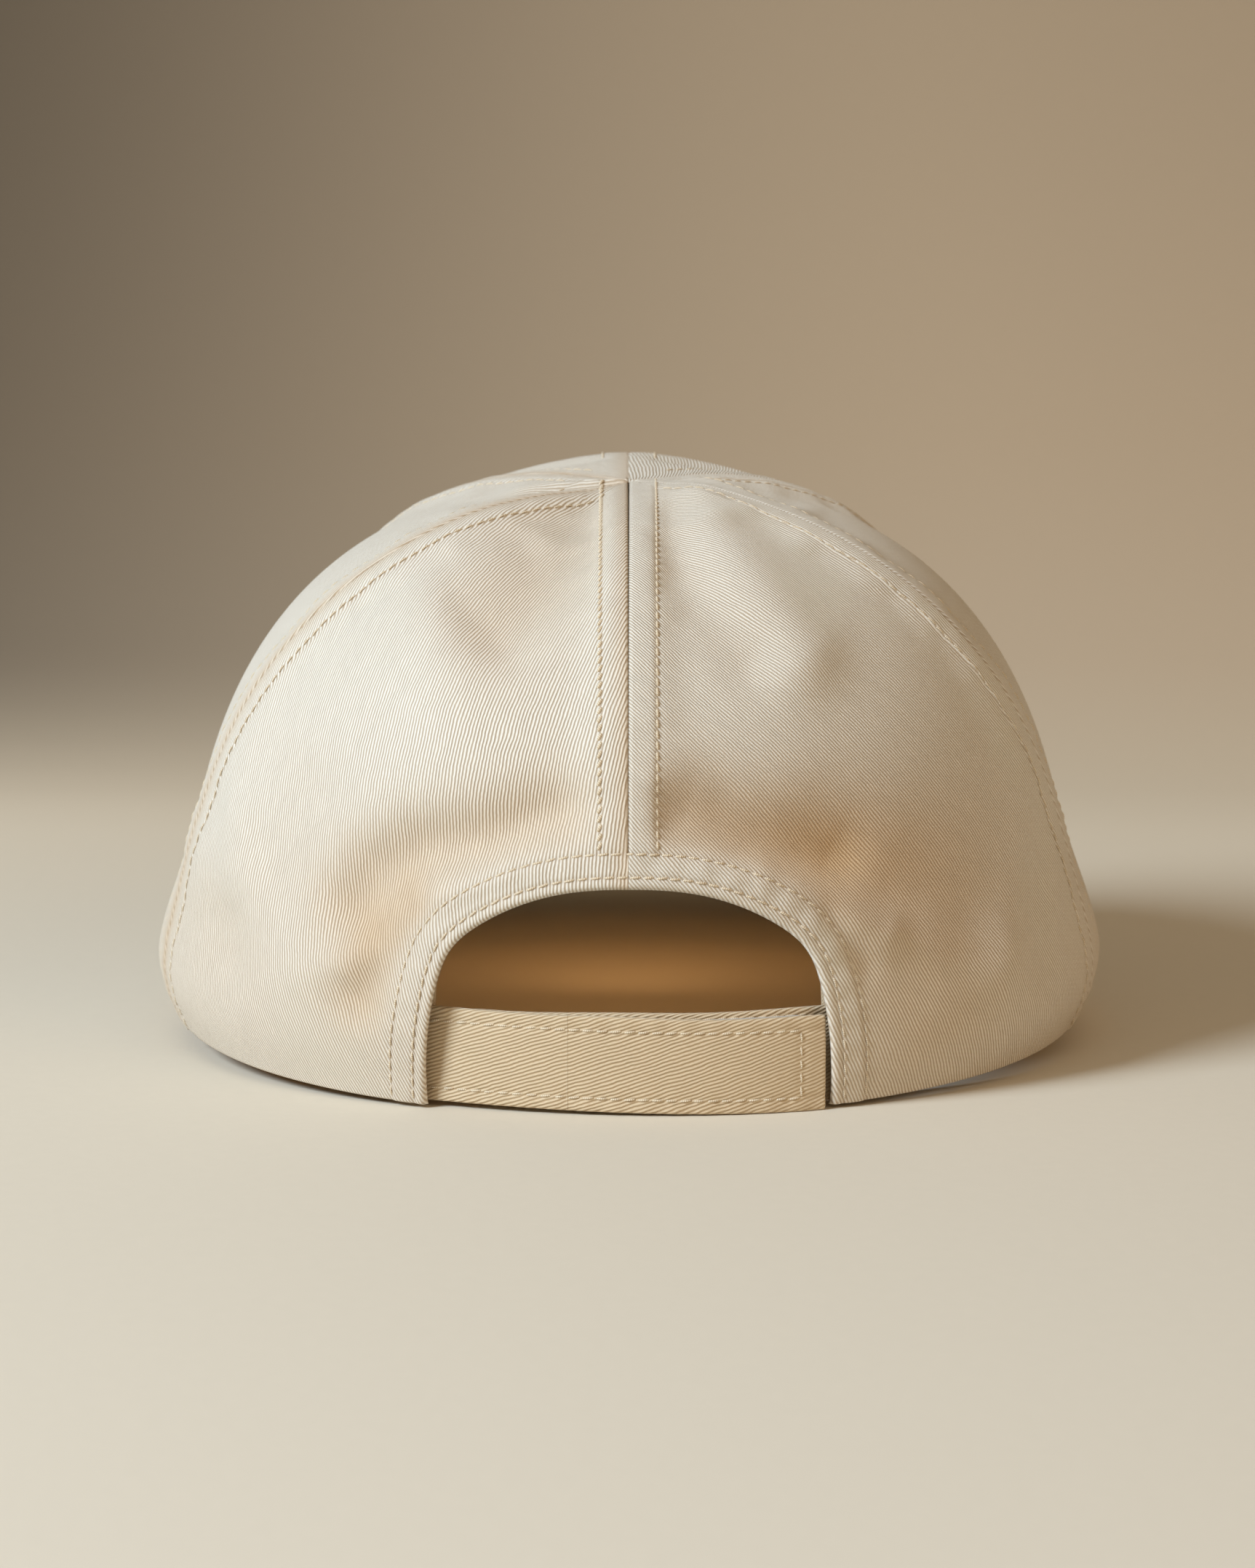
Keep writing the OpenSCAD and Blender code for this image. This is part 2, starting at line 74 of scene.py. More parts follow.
REAR_SEAM = 76.0
REAR_SWING = 20.0
FRONT_SEAM = 127.0
FRONT_SWING = 7.0
TAPE_WIDTH = 12.0
STITCH_OFFSET = 5.5
ARCH_ROWS = (2.3, 6.6)

VISOR_START = 122.0
VISOR_HALF_WIDTH = 88.0
VISOR_LENGTH = 69.0
VISOR_BEND = 200.0
VISOR_SLOPE = 8.0
VISOR_WIDE_Y = 90.0
SIDE_SHARE = 0.28
OUTLINE_POWER = 2 / 2.3
HALF_BOARD = 0.9
COVER = 0.7
COVER_GAP = 0.06
VISOR_ROWS = 6
FIRST_ROW = 4.0                 # from the rim to the outermost row
ROW_SPACING = (VISOR_LENGTH - 8) / VISOR_ROWS
BAND_HEIGHT = 30.0
BAND_SETTLED = 52.0
BAND_CLOSING = 33.0
BAND_THICK = 0.9
BAND_ROWS = (BAND_HEIGHT - 2.6, 3.5)

STRAP_WIDTH = 18.5
STRAP = 1.4
PILE = 0.8
TAB_LENGTH = 21.0
STRAP_LEAN = 0.75
CONTACT = 0.06
TAPE_INSET = 1.2

SECOND_LAYER = 1.1              # depths below the cloth's face
THIRD_LAYER = 1.95
BAND_LAYER = 5.85
BINDING = 0.5
MM = 0.001


# ---- small helpers -------------------------------------------------------------------------------

def smooth(value, low, high):
    t = np.clip((value - low) / (high - low), 0, 1)
    return t * t * (3 - 2 * t)


def bump_at(value, middle, spread):
    return np.exp(-((value - middle) / spread) ** 2)


def unit(v):
    return v / np.maximum(np.linalg.norm(v, axis=-1, keepdims=True), 1e-9)


def run_of(line):
    """How far along a polyline each of its points is."""
    return np.concatenate([[0], np.cumsum(np.linalg.norm(np.diff(line, axis=0), axis=1))])


def even_rows(line, shares):
    """Points at these shares of a polyline's length."""
    run = run_of(line)
    return np.stack([np.interp(shares * run[-1], run, column) for column in line.T], axis=-1)


def stations(length, fine_start, fine_end, fine, coarse):
    """Shares from 0 to 1 of a length, closer together within the fine reach at either end."""
    plain_end = length - fine_end
    head = np.linspace(0, fine_start, max(1, round(fine_start / fine)), endpoint=False)
    middle = np.linspace(fine_start, plain_end, round((plain_end - fine_start) / coarse), endpoint=False)
    tail = np.linspace(plain_end, length, max(1, round(fine_end / fine)) + 1)
    return np.concatenate([head, middle, tail]) / length


CHUNK = 4000                    # points measured at once, to spare memory


def line_distance(points, line):
    """Distance from each point to a polyline, and how far along it the nearest place lies."""
    starts, steps = line[:-1], np.diff(line, axis=0)
    lengths, before = np.linalg.norm(steps, axis=1), run_of(line)
    near, along = np.empty(len(points)), np.empty(len(points))
    for first in range(0, len(points), CHUNK):
        chunk = points[first:first + CHUNK]
        square = (chunk ** 2).sum(1)[:, None] - 2 * chunk @ line.T + (line ** 2).sum(1)
        nearest = square.argmin(1)
        best, where = np.full(len(chunk), np.inf), np.zeros(len(chunk))
        for candidate in (nearest - 1, nearest):
            segment = np.clip(candidate, 0, len(steps) - 1)
            offset = chunk - starts[segment]
            along_it = (offset * steps[segment]).sum(1) / np.maximum(lengths[segment] ** 2, 1e-9)
            share = np.clip(along_it, 0, 1)
            gap = np.linalg.norm(offset - steps[segment] * share[:, None], axis=1)
            where = np.where(gap < best, before[segment] + share * lengths[segment], where)
            best = np.minimum(gap, best)
        near[first:first + CHUNK] = best
        along[first:first + CHUNK] = where
    return near, along


# ---- the crown's surface, in the cap's own frame -------------------------------------------------
# th is the angle from the centre back, positive to the right; phi is 0 at the hem and 90 on top.

def round_r(phi):
    return np.maximum(0, np.cos(np.radians(phi))) ** (2 / FULLNESS)


def round_z(phi):
    return np.maximum(0, np.sin(np.radians(phi))) ** (2 / TOP_FULLNESS)


def phi_at_height(z):
    level = np.clip(np.maximum(0, z) / CROWN_HEIGHT, 0, 1)
    return np.degrees(np.arcsin(level ** (TOP_FULLNESS / 2)))


def phi_at_radius(radius):
    return np.degrees(np.arccos(np.clip(radius / CROWN_HALF_WIDTH, 0, 1) ** (FULLNESS / 2)))


def girth(sin_th, z):
    bulge = SIDE_BULGE * bump_at(z, BULGE_HEIGHT, BULGE_SPREAD)
    draw = HEM_DRAW * np.maximum(0, 1 - z / DRAW_HEIGHT) ** 2
    return 1 + sin_th ** 2 * (bulge - draw)


def turned(th):
    """Sine, cosine and the crown's depth at an angle."""
    sin_th, cos_th = np.sin(np.radians(th)), np.cos(np.radians(th))
    return sin_th, cos_th, np.where(cos_th > 0, CROWN_BACK, CROWN_FRONT)


def hem_xy(th):
    sin_th, cos_th, depth = turned(th)
    g = girth(sin_th, 0.0)
    return np.stack([CROWN_HALF_WIDTH * sin_th * g, -depth * cos_th * g], axis=-1)


VISOR_ROOT = hem_xy(VISOR_START)
VISOR_MID_Y = hem_xy(180.0)[1]
VISOR_TAN = math.tan(math.radians(VISOR_SLOPE))
VISOR_RISE = VISOR_ROOT[0] ** 2 / (2 * VISOR_BEND) + (VISOR_ROOT[1] - VISOR_MID_Y) * VISOR_TAN


def visor_z(x, y):
    return VISOR_RISE - x * x / (2 * VISOR_BEND) - (y - VISOR_MID_Y) * VISOR_TAN


def hem_lift(th):
    turn = np.abs((np.asarray(th, float) + 180) % 360 - 180)
    at = hem_xy(turn)
    return np.where(turn < VISOR_START, 0, np.maximum(0, visor_z(at[..., 0], at[..., 1])))


def crown(th, phi):
    th, phi = np.broadcast_arrays(np.asarray(th, float), np.asarray(phi, float))
    sin_th, cos_th, depth = turned(th)
    c, s = round_r(phi), round_z(phi)
    g = girth(sin_th, CROWN_HEIGHT * s)
    x = CROWN_HALF_WIDTH * c * sin_th * g
    y = -depth * c * cos_th * g - TOP_SETBACK * s
    front = np.maximum(0, -cos_th) ** 1.5
    rise = FRONT_RISE * front * np.sin(np.radians(2 * phi)) * bump_at(x, 0, FRONT_RIDGE)
    return np.stack([x, y, CROWN_HEIGHT * s + rise + hem_lift(th) * (1 - s)], axis=-1)


def crown_normal(th, phi):
    phi = np.minimum(phi, 88)
    across = crown(th + 1, phi) - crown(th - 1, phi)
    upwards = crown(th, phi + 1) - crown(th, np.maximum(phi - 1, 0))
    return unit(np.cross(across, upwards))


def seam_angle(i, phi):
    """Seam 0 is the centre back, 1 and 2 the rear and front side seams, 3 the centre front."""
    swing = np.sin(np.radians(phi)) ** 2
    at_hem, leaning = ((0, 0), (REAR_SEAM, REAR_SWING), (FRONT_SEAM, FRONT_SWING), (180, 0))[i]
    return at_hem - leaning * swing


def span(distance, phi):
    """Degrees that a distance across the crown covers at this height."""
    radius = CROWN_HALF_WIDTH * np.maximum(round_r(phi), 0.008)
    return np.degrees(np.arcsin(np.minimum(1, distance / radius)))


# Length up the crown from the hem, used to lay out the cloth
PHI_TABLE = np.linspace(0, 90, 721)
RISE_TABLE = run_of(crown(90.0, PHI_TABLE))
WHOLE_RISE = RISE_TABLE[-1]


def climb_to(phi):
    return np.interp(phi, PHI_TABLE, RISE_TABLE)


def phi_at_climb(length):
    return np.interp(length, RISE_TABLE, PHI_TABLE)


def climb_to_radius(radius):
    return float(climb_to(phi_at_radius(radius)))


def partner(u):
    return np.maximum(0, 1 - u ** ARCH_SHOULDER) ** (1 / ARCH_SHOULDER)


def arch_edge(count=900):
    """The back opening's edge as [x, z], from the right hem corner up to the centre back."""
    k = 2 * 0.5 ** (1 / ARCH_SHOULDER)
    t = np.linspace(0, 1, count)
    u = np.where(t < 0.5, partner(np.minimum(k * t, 1)), k * (1 - t))
    w = np.where(t < 0.5, k * t, partner(np.minimum(k * (1 - t), 1)))
    x = (ARCH_HALF_WIDTH - ARCH_TAPER * w ** 3) * u
    z = (ARCH_HEIGHT - ARCH_DROP * (np.abs(x) / (ARCH_HALF_WIDTH - ARCH_TAPER)) ** 2.45) * w
    return np.stack([x, z], axis=-1)


ARCH = arch_edge()
WHOLE_ARCH = np.concatenate([ARCH, (ARCH * [-1, 1])[::-1][1:]])


def arch_moved(line, distance):
    """That edge moved outwards, away from the opening."""
    along = unit(np.gradient(line, axis=0))
    return line + distance * np.stack([along[:, 1], -along[:, 0]], axis=-1)


def arch_angles(xz):
    phi = phi_at_height(xz[..., 1])
    return np.degrees(np.arcsin(np.clip(xz[..., 0] / (CROWN_HALF_WIDTH * round_r(phi)), -1, 1))), phi


def centre_climb(height):
    """Length up the crown to a height at the centre back."""
    return float(climb_to(phi_at_height(height)))


def seam_line(i, side):
    phi = np.concatenate([np.linspace(0, 80, 260, endpoint=False), np.linspace(80, 90, 120)])
    if i == 0:
        phi = phi[phi > phi_at_height(ARCH_HEIGHT)]
    return crown(side * seam_angle(i, phi), phi)


ALL_SEAMS, BOTH = (0, 1, 2, 3), (-1, 1)
HANDS = ((-1, "left"), (1, "right"))
SEAM_LINES = {(i, side): seam_line(i, side) for i in ALL_SEAMS for side in BOTH}


# ---- cloth: folds, simulated drape and sewn relief -----------------------------------------------

# Folds pressed or raised in the back of the crown: points (x, z), half width, height, and how much
# warm painted shade the hollow gets (a fold of no height is painted shade only)
FOLDS = (
    (((-10, 108), (-17, 100), (-26, 91)), 8.0, -2.5, 0.30),
    (((-22, 104), (-33, 96)), 5.0, -0.9, 0.10),
    (((-30, 84), (-36, 76)), 10.0, 0.9, 0.0),
    (((9, 106), (10, 102)), 4.5, -1.1, 0.12),
    (((14, 108), (24, 97), (34, 85)), 7.5, 1.6, 0.0),
    (((15, 96), (24, 87)), 5.5, -0.9, 0.08),
    (((-14, 58), (-28, 53), (-40, 50), (-50, 44), (-54, 38)), 6.5, -2.4, 0.44),
    (((12, 58), (24, 54), (40, 48)), 7.5, -2.4, 0.66),
    (((40, 56), (54, 48)), 10.0, -0.6, 0.30),
    (((-23, 44), (-40, 40), (-48, 33), (-54, 26)), 4.5, 1.3, 0.0),
    (((26, 45), (39, 41), (45, 36), (50, 33)), 4.5, 1.2, 0.0),
    (((-42, 38), (-49, 31), (-52, 20)), 5.0, -1.2, 0.42),
    (((38, 36), (45, 27)), 3.2, -0.8, 0.15),
    (((60, 42), (58, 22)), 13.0, 0.0, 0.32),
    (((-85, 38), (-84, 36)), 8.0, 1.0, 0.0),
    (((-81, 27), (-80, 25)), 8.0, -1.0, 0.10),
    (((-66, 27), (-65, 25)), 7.0, 1.0, 0.0),
    (((-64, 56), (-69, 45)), 8.0, -1.0, 0.10),
    (((52, 40), (66, 34)), 8.0, -0.6, 0.10),
    (((60, 30), (75, 24)), 7.0, 0.8, 0.0),
)
FOLD_GAIN = 1.6
WARM_SHADE_SPREAD = 1.35              # the painted warm shade reaches a little past each fold
WARM_SHADE_LOW = 0.24                # painted warm bounce light, stronger towards the floor
WARM_SHADE_SEAM = 0.4                 # and painted warm shade just left of the centre seam
DRAPE_SHARE = 0.6
DRAPE_LIMIT = 3.0
SIM_STEP = 4.0                  # degrees between the simulated cloth's columns
SIM_COLUMNS = round(360 / SIM_STEP)
SIM_ROWS = 40
SIM_TOP = 86.0
SIM_FRAMES = 32
NO_EDGE = 99.0                  # a gap to an edge that isn't near


def held(flat, phi):
    """How firmly seams, edges and the front's stiffener hold each point of the simulated cloth."""
    seams = np.min([line_distance(flat, line)[0] for line in SEAM_LINES.values()], axis=0)
    edge, _ = line_distance(flat[:, [0, 2]], WHOLE_ARCH)
    edge = np.where(flat[:, 1] < 0, edge, NO_EDGE)
    return np.maximum.reduce([
        0.95 * (1 - smooth(seams, 3.5, 7.5)),
        1 - smooth(edge, 4, 11),
        1 - smooth(climb_to(phi), 3, 10),
        smooth(phi, 78, 84),
        0.85 * smooth(flat[:, 1], 20, 45),
        np.full(len(flat), 0.02)])


def simulate_drape():
    """The crown's cloth, slackened and left to settle on its seams, as moves along the normal."""
    angles, climbs = np.arange(SIM_COLUMNS) * SIM_STEP - 180, np.linspace(0, SIM_TOP, SIM_ROWS)
    th, phi = np.meshgrid(angles, climbs, indexing="ij")
    flat, normals = crown(th, phi).reshape(-1, 3), crown_normal(th, phi).reshape(-1, 3)
    index = np.arange(th.size).reshape(th.shape)
    nxt = np.roll(index, -1, axis=0)
    faces = np.stack([index[:, :-1], nxt[:, :-1], nxt[:, 1:], index[:, 1:]], axis=-1).reshape(-1, 4)
    inside = (np.abs(flat[:, 0]) < ARCH_HALF_WIDTH - 3) & (flat[:, 1] < 0) & (flat[:, 2] < ARCH_HEIGHT - 10)
    faces = faces[~inside[faces].all(axis=1)]
    mesh = bpy.data.meshes.new("drape_cloth")
    mesh.from_pydata((flat * MM).tolist(), [], faces.tolist())
    cloth = bpy.data.objects.new("drape_cloth", mesh)
    bpy.context.scene.collection.objects.link(cloth)
    pins = cloth.vertex_groups.new(name="held")
    for number, weight in enumerate(held(flat, phi.ravel())):
        pins.add([number], float(weight), "REPLACE")
    modifier = cloth.modifiers.new("Cloth", "CLOTH")
    settings = modifier.settings
    settings.vertex_group_mass = "held"
    settings.quality = 7
    settings.mass = 0.15
    settings.tension_stiffness = 12
    settings.compression_stiffness = 6
    settings.shear_stiffness = 4
    settings.bending_stiffness = 0.4
    settings.shrink_min = -0.014
    settings.effector_weights.gravity = 0.6
    modifier.point_cache.frame_start = 1
    modifier.point_cache.frame_end = SIM_FRAMES
    for number in range(1, SIM_FRAMES + 1):
        bpy.context.scene.frame_set(number)
    settled = cloth.evaluated_get(bpy.context.evaluated_depsgraph_get())
    moved = np.empty(len(flat) * 3)
    settled.data.vertices.foreach_get("co", moved)
    bpy.context.scene.frame_set(1)
    bpy.data.objects.remove(cloth)
    bpy.data.meshes.remove(mesh)
    shift = ((moved.reshape(-1, 3) / MM - flat) * normals).sum(1)
    shift[inside] = 0
    return np.clip(shift, -DRAPE_LIMIT, DRAPE_LIMIT).reshape(th.shape)


drape_grid = simulate_drape()


def spline_weights(t):
    """Weights of four neighbours, for a smooth surface through a grid of values."""
    second = (3 * t ** 3 - 6 * t ** 2 + 4) / 6
    third = (-3 * t ** 3 + 3 * t ** 2 + 3 * t + 1) / 6
    return (1 - t) ** 3 / 6, second, third, t ** 3 / 6


def settled_drape(th, phi):
    column = ((th + 180) % 360) / SIM_STEP
    row = np.clip(phi, 0, SIM_TOP) / SIM_TOP * (SIM_ROWS - 1)
    c0, r0 = np.floor(column).astype(int), np.floor(row).astype(int)
    total = 0
    for i, wi in enumerate(spline_weights(column - c0)):
        for j, wj in enumerate(spline_weights(row - r0)):
            rows = np.clip(r0 + j - 1, 0, SIM_ROWS - 1)
            total = total + wi * wj * drape_grid[(c0 + i - 1) % SIM_COLUMNS, rows]
    return DRAPE_SHARE * total * (1 - smooth(phi, 80, 86))


def drape(points, th, phi, seam_gap, arch_gap):
    """How far the cloth has moved along the crown's normal, and its painted warm shade."""
    total = settled_drape(th, phi)
    in_back = smooth(np.cos(np.radians(th)), 0.02, 0.3)
    seen = in_back * smooth(arch_gap, 3, 10) * (0.35 + 0.65 * smooth(seam_gap, 2, 8))
    warm_shade = np.zeros(len(points))
    # each fold moves the cloth and paints warm shade over its hollow
    for line, spread, height, shade_warmth in FOLDS:
        near, _ = line_distance(points[:, [0, 2]], np.array(line, float))
        total = total + FOLD_GAIN * height * bump_at(near, 0, spread) * seen
        warm_shade = warm_shade + shade_warmth * bump_at(near, 0, WARM_SHADE_SPREAD * spread) * seen
    # painted warm shade just left of the centre seam, and painted warm bounce light towards the floor
    warm_shade = warm_shade + WARM_SHADE_SEAM * bump_at(seam_gap, 0, 2.6) * (points[:, 0] < 0)
    warm_shade = warm_shade + WARM_SHADE_LOW * (1 - smooth(points[:, 2], 4, 58))
    return total, np.clip(warm_shade, 0, 1)


def ripple(along, wave):
    """A pucker that repeats along a row of stitches, never quite evenly."""
    drift = 0.8 * np.sin(along / 23.0) + 0.5 * np.sin(along / 9.1 + 1.3)
    size = 0.75 + 0.25 * np.sin(along / 31.0 + 0.7)
    return size * np.sin(2 * np.pi * along / wave + drift)


def rolled(gap, radius):
    """How far a turned edge has curved away, within its radius of the edge."""
    inner = np.clip(radius - gap, 0, radius)
    return radius - np.sqrt(np.maximum(0, radius ** 2 - inner ** 2))


def sewn(seam_gap, seam_along, arch_gap, arch_along, hem_gap, under):
    """Height of the sewn detail over the plain cloth, and the painted shade in its valleys and grooves.

    under is 1 on the side of the centre seam that lies flat, and 0 elsewhere."""
    above = smooth(arch_gap, ARCH_ROWS[1] - 1.0, ARCH_ROWS[1] + 0.4)
    line = bump_at(seam_gap, 0, 0.32)
    valley = line * above
    groove = bump_at(seam_gap, STITCH_OFFSET, 0.55) * above
    lap = (1 - smooth(seam_gap, STITCH_OFFSET - 0.7, STITCH_OFFSET + 0.5)) * above
    height = -0.45 * valley + (0.26 - 0.2 * under) * lap - (0.16 - 0.04 * under) * groove
    height += 0.09 * ripple(seam_along, 6.3) * bump_at(seam_gap, 4.2, 3.2) * (1 - valley)
    rows = sum(bump_at(arch_gap, row, 0.5) for row in ARCH_ROWS)
    facing = 1 - smooth(arch_gap, ARCH_ROWS[1] - 0.6, ARCH_ROWS[1] + 0.8)
    height += 0.34 * facing - 0.2 * rows + 0.10 * ripple(arch_along, 5.6) * bump_at(arch_gap, 4.6, 3.0)
    height -= rolled(arch_gap, 1.1) + rolled(hem_gap, 0.7)
    # painted shade: darker in the seam valley, in the stitch grooves and along the rows by the opening
    return height, np.clip(0.7 * valley + 0.25 * groove + 0.4 * rows, 0, 1)


def gaps(points, th, seams=ALL_SEAMS, sides=BOTH):
    """Distances of points on the crown to its seams and to the edge of the back opening."""
    near, along = np.full(len(points), NO_EDGE), np.zeros(len(points))
    for i in seams:
        for side in sides:
            gap, place = line_distance(points, SEAM_LINES[i, side])
            near, along = np.minimum(gap, near), np.where(gap < near, place, along)
    back = np.cos(np.radians(th)) > 0
    edge, edge_along = line_distance(points[:, [0, 2]], WHOLE_ARCH)
    return near, along, np.where(back, edge, NO_EDGE), np.where(back, edge_along, 0.0)


def cloth_surface(th, phi, seams=ALL_SEAMS, sides=BOTH):
    """Finished cloth: the plain crown's points and normals, drape, sewn relief, painted crease shade and
    painted warm shade.
    """
    th, phi = np.ravel(th).astype(float), np.ravel(phi).astype(float)
    points, normals = crown(th, phi), crown_normal(th, phi)
    seam_gap, seam_along, arch_gap, arch_along = gaps(points, th, seams, sides)
    moved, warm_shade = drape(points, th, phi, seam_gap, arch_gap)
    x, y = points[:, 0], points[:, 1]
    under = (x < 0) & (-x < 9) & (y < -TOP_SETBACK)
    height, crease_shade = sewn(seam_gap, seam_along, arch_gap, arch_along, climb_to(phi), under)
    # The centre front seam is pressed flat near the top
    pressed = 1 - 0.8 * smooth(y, -TOP_SETBACK, 2) * (1 - smooth(y, 30, 55))
    near_centre = seam_gap + np.abs(np.abs(x) - seam_gap) < 12
    share = np.where(near_centre & (arch_gap > 20), pressed, 1.0)
    return points, normals, moved, height * share, crease_shade * share, warm_shade


def moved_layer(th, phi):
    """The plain crown's points and normals for a lining, and how far it moves with the cloth."""
    points, normals = crown(th, phi), crown_normal(th, phi)
    seam_gap, _, arch_gap, _ = gaps(points, th)
    return points, normals, drape(points, th, phi, seam_gap, arch_gap)[0]


# ---- from the cap's frame to the row frame -------------------------------------------------------

def visor_outer(w, edge):
    """The visor's outline on the right, from its root (w = 0) to the middle of its rim (w = 1)."""
    w = np.asarray(w, float)
    t = 1 - np.minimum(w, SIDE_SHARE) / SIDE_SHARE
    a = np.radians(90 * (np.maximum(w, SIDE_SHARE) - SIDE_SHARE) / (1 - SIDE_SHARE))
    side_x = VISOR_HALF_WIDTH + edge - (VISOR_HALF_WIDTH - VISOR_ROOT[0]) * t * t
    side_y = VISOR_WIDE_Y - t * (VISOR_WIDE_Y - VISOR_ROOT[1])
    front_x = (VISOR_HALF_WIDTH + edge) * np.maximum(0, np.cos(a)) ** OUTLINE_POWER
    front_y = VISOR_WIDE_Y + (VISOR_MID_Y + VISOR_LENGTH - VISOR_WIDE_Y + edge) * np.sin(a) ** OUTLINE_POWER
    on_side = w < SIDE_SHARE
    return np.stack([np.where(on_side, side_x, front_x), np.where(on_side, side_y, front_y)], axis=-1)


def mirrored(line):
    """The whole line across the visor, from its right half."""
    return np.concatenate([line * [-1, 1], line[::-1][1:]])


def rest_attitude():
    """The cap's tilt when it stands on the back hem and the visor's rim."""
    rim = visor_outer(np.arange(0, 1.001, 0.02), 1.2)
    slope = (visor_z(rim[:, 0], rim[:, 1]) - HALF_BOARD - COVER - 0.1) / (rim[:, 1] + CROWN_BACK)
    return -math.atan(slope.min())


TIP = rest_attitude()
LIFT = CROWN_BACK * math.sin(TIP)
MIDDLE_Y = (VISOR_MID_Y + VISOR_LENGTH - CROWN_BACK) / 2


def tipped(points):
    """The cap's frame, in mm, to the row frame, in metres."""
    x, y, z = np.moveaxis(np.asarray(points, float), -1, 0)
    return MM * np.stack([
        x,
        y * math.cos(TIP) - z * math.sin(TIP) - MIDDLE_Y,
        y * math.sin(TIP) + z * math.cos(TIP) + LIFT], axis=-1)


def standing(points):
    """The straps' frame, in mm, to the row frame, in metres."""
    return MM * (np.asarray(points, float) - [0, MIDDLE_Y, 0])


# ---- meshes --------------------------------------------------------------------------------------

def make_object(name, verts, faces, uvs=None, crease_shade=None, warm_shade=None, material=None, slot=None,
                body="cap", nodes=()):
    mesh = bpy.data.meshes.new(name)
    mesh.from_pydata(np.asarray(verts).reshape(-1, 3).tolist(), [], np.asarray(faces).tolist())
    corners = np.empty(len(mesh.loops), dtype=np.int32)
    mesh.loops.foreach_get("vertex_index", corners)
    if uvs is not None:
        flat = np.asarray(uvs, float).reshape(-1, 2)
        if len(flat) != len(corners):
            flat = flat[corners]
        mesh.uv_layers.new(name="UVMap").data.foreach_set("uv", flat.ravel())
    # painted shade kept on the points: dark shade in creases and warm shade in hollows
    for label, values in (("crease_shade", crease_shade), ("warm_shade", warm_shade)):
        if values is not None:
            mesh.attributes.new(label, "FLOAT", "POINT").data.foreach_set("value", np.ravel(values))
    mesh.polygons.foreach_set("use_smooth", np.ones(len(mesh.polygons), dtype=bool))
    mesh.update()
    obj = bpy.data.objects.new(name, mesh)
    bpy.context.scene.collection.objects.link(obj)
    mesh.materials.append(material)
    if nodes:
        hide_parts(*nodes)
    if body:
        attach(obj, body)
    return obj


def outward(verts, faces):
    """The faces turned so that the closed mesh has its outside outside."""
    v, f = np.asarray(verts).reshape(-1, 3), np.asarray(faces)
    a, b, c, d = (v[f[:, i]] for i in range(4))
    volume = ((np.cross(b - a, c - a) + np.cross(c - a, d - a)) * (a - v[0])).sum()
    return f if volume > 0 else f[:, ::-1]


INNER_SHADE = 0.35             # painted shade: the cloth's inner face is a little darker all over


def sheet(name, face, back, uvs, crease_shade=None, warm_shade=None, **rest):
    """A closed sheet between two grids of points."""
    rows, cols = face.shape[:2]
    n = rows * cols
    index = np.arange(n).reshape(rows, cols)
    front = np.stack([index[:-1, :-1], index[1:, :-1], index[1:, 1:], index[:-1, 1:]], axis=-1).reshape(-1, 4)
    rim = np.concatenate([index[0, :-1], index[:-1, -1], index[-1, :0:-1], index[:0:-1, 0]])
    following = np.roll(rim, -1)
    walls = np.stack([rim, following, following + n, rim + n], axis=-1)
    faces = np.concatenate([front, front[:, ::-1] + n, walls])
    verts = np.concatenate([face.reshape(n, 3), back.reshape(n, 3)])
    both = np.concatenate([np.asarray(uvs).reshape(n, 2)] * 2)
    if crease_shade is not None:
        crease_shade = np.concatenate([np.ravel(crease_shade), np.full(n, INNER_SHADE)])
        warm_shade = np.concatenate([np.ravel(warm_shade)] * 2)
    return make_object(name, verts, outward(verts, faces), both, crease_shade, warm_shade, **rest)


def tube(name, rings, uvs, **rest):
    """A closed tube through rings of points, with a flat end at either side."""
    rows, cols = rings.shape[:2]
    index = np.arange(rows * cols).reshape(rows, cols)
    nxt = np.roll(index, -1, axis=1)
    sides = np.stack([index[:-1], nxt[:-1], nxt[1:], index[1:]], axis=-1).reshape(-1, 4)
    at = np.arange(rows * (cols + 1)).reshape(rows, cols + 1)
    uv_sides = np.stack([at[:-1, :-1], at[:-1, 1:], at[1:, 1:], at[1:, :-1]], axis=-1).reshape(-1, 4)
    ends, uv_ends = [], []
    for ring, uv_ring in ((index[0], at[0]), (index[-1, ::-1], at[-1, -2::-1])):
        for k in range(cols // 2 - 1):
            corner = [k, k + 1, cols - 2 - k, cols - 1 - k]
            ends.append(ring[corner])
            uv_ends.append(uv_ring[corner])
    faces = np.concatenate([sides, np.array(ends)])
    uv_faces = np.concatenate([uv_sides, np.array(uv_ends)])
    facing = outward(rings, faces)
    if facing is not faces:
        uv_faces = uv_faces[:, ::-1]
    return make_object(name, rings, facing, np.asarray(uvs).reshape(-1, 2)[uv_faces.ravel()], **rest)


# ---- materials -----------------------------------------------------------------------------------

def operator(operation):
    return lambda value, other: value.nodes.math(operation, value, other)


class Value:
    """A number in a shader tree. Arithmetic on it adds math nodes to the tree."""

    def __init__(self, nodes, socket):
        self.nodes, self.socket = nodes, socket

    __add__ = operator("ADD")
    __sub__ = operator("SUBTRACT")
    __mul__ = operator("MULTIPLY")
    __truediv__ = operator("DIVIDE")
    __pow__ = operator("POWER")


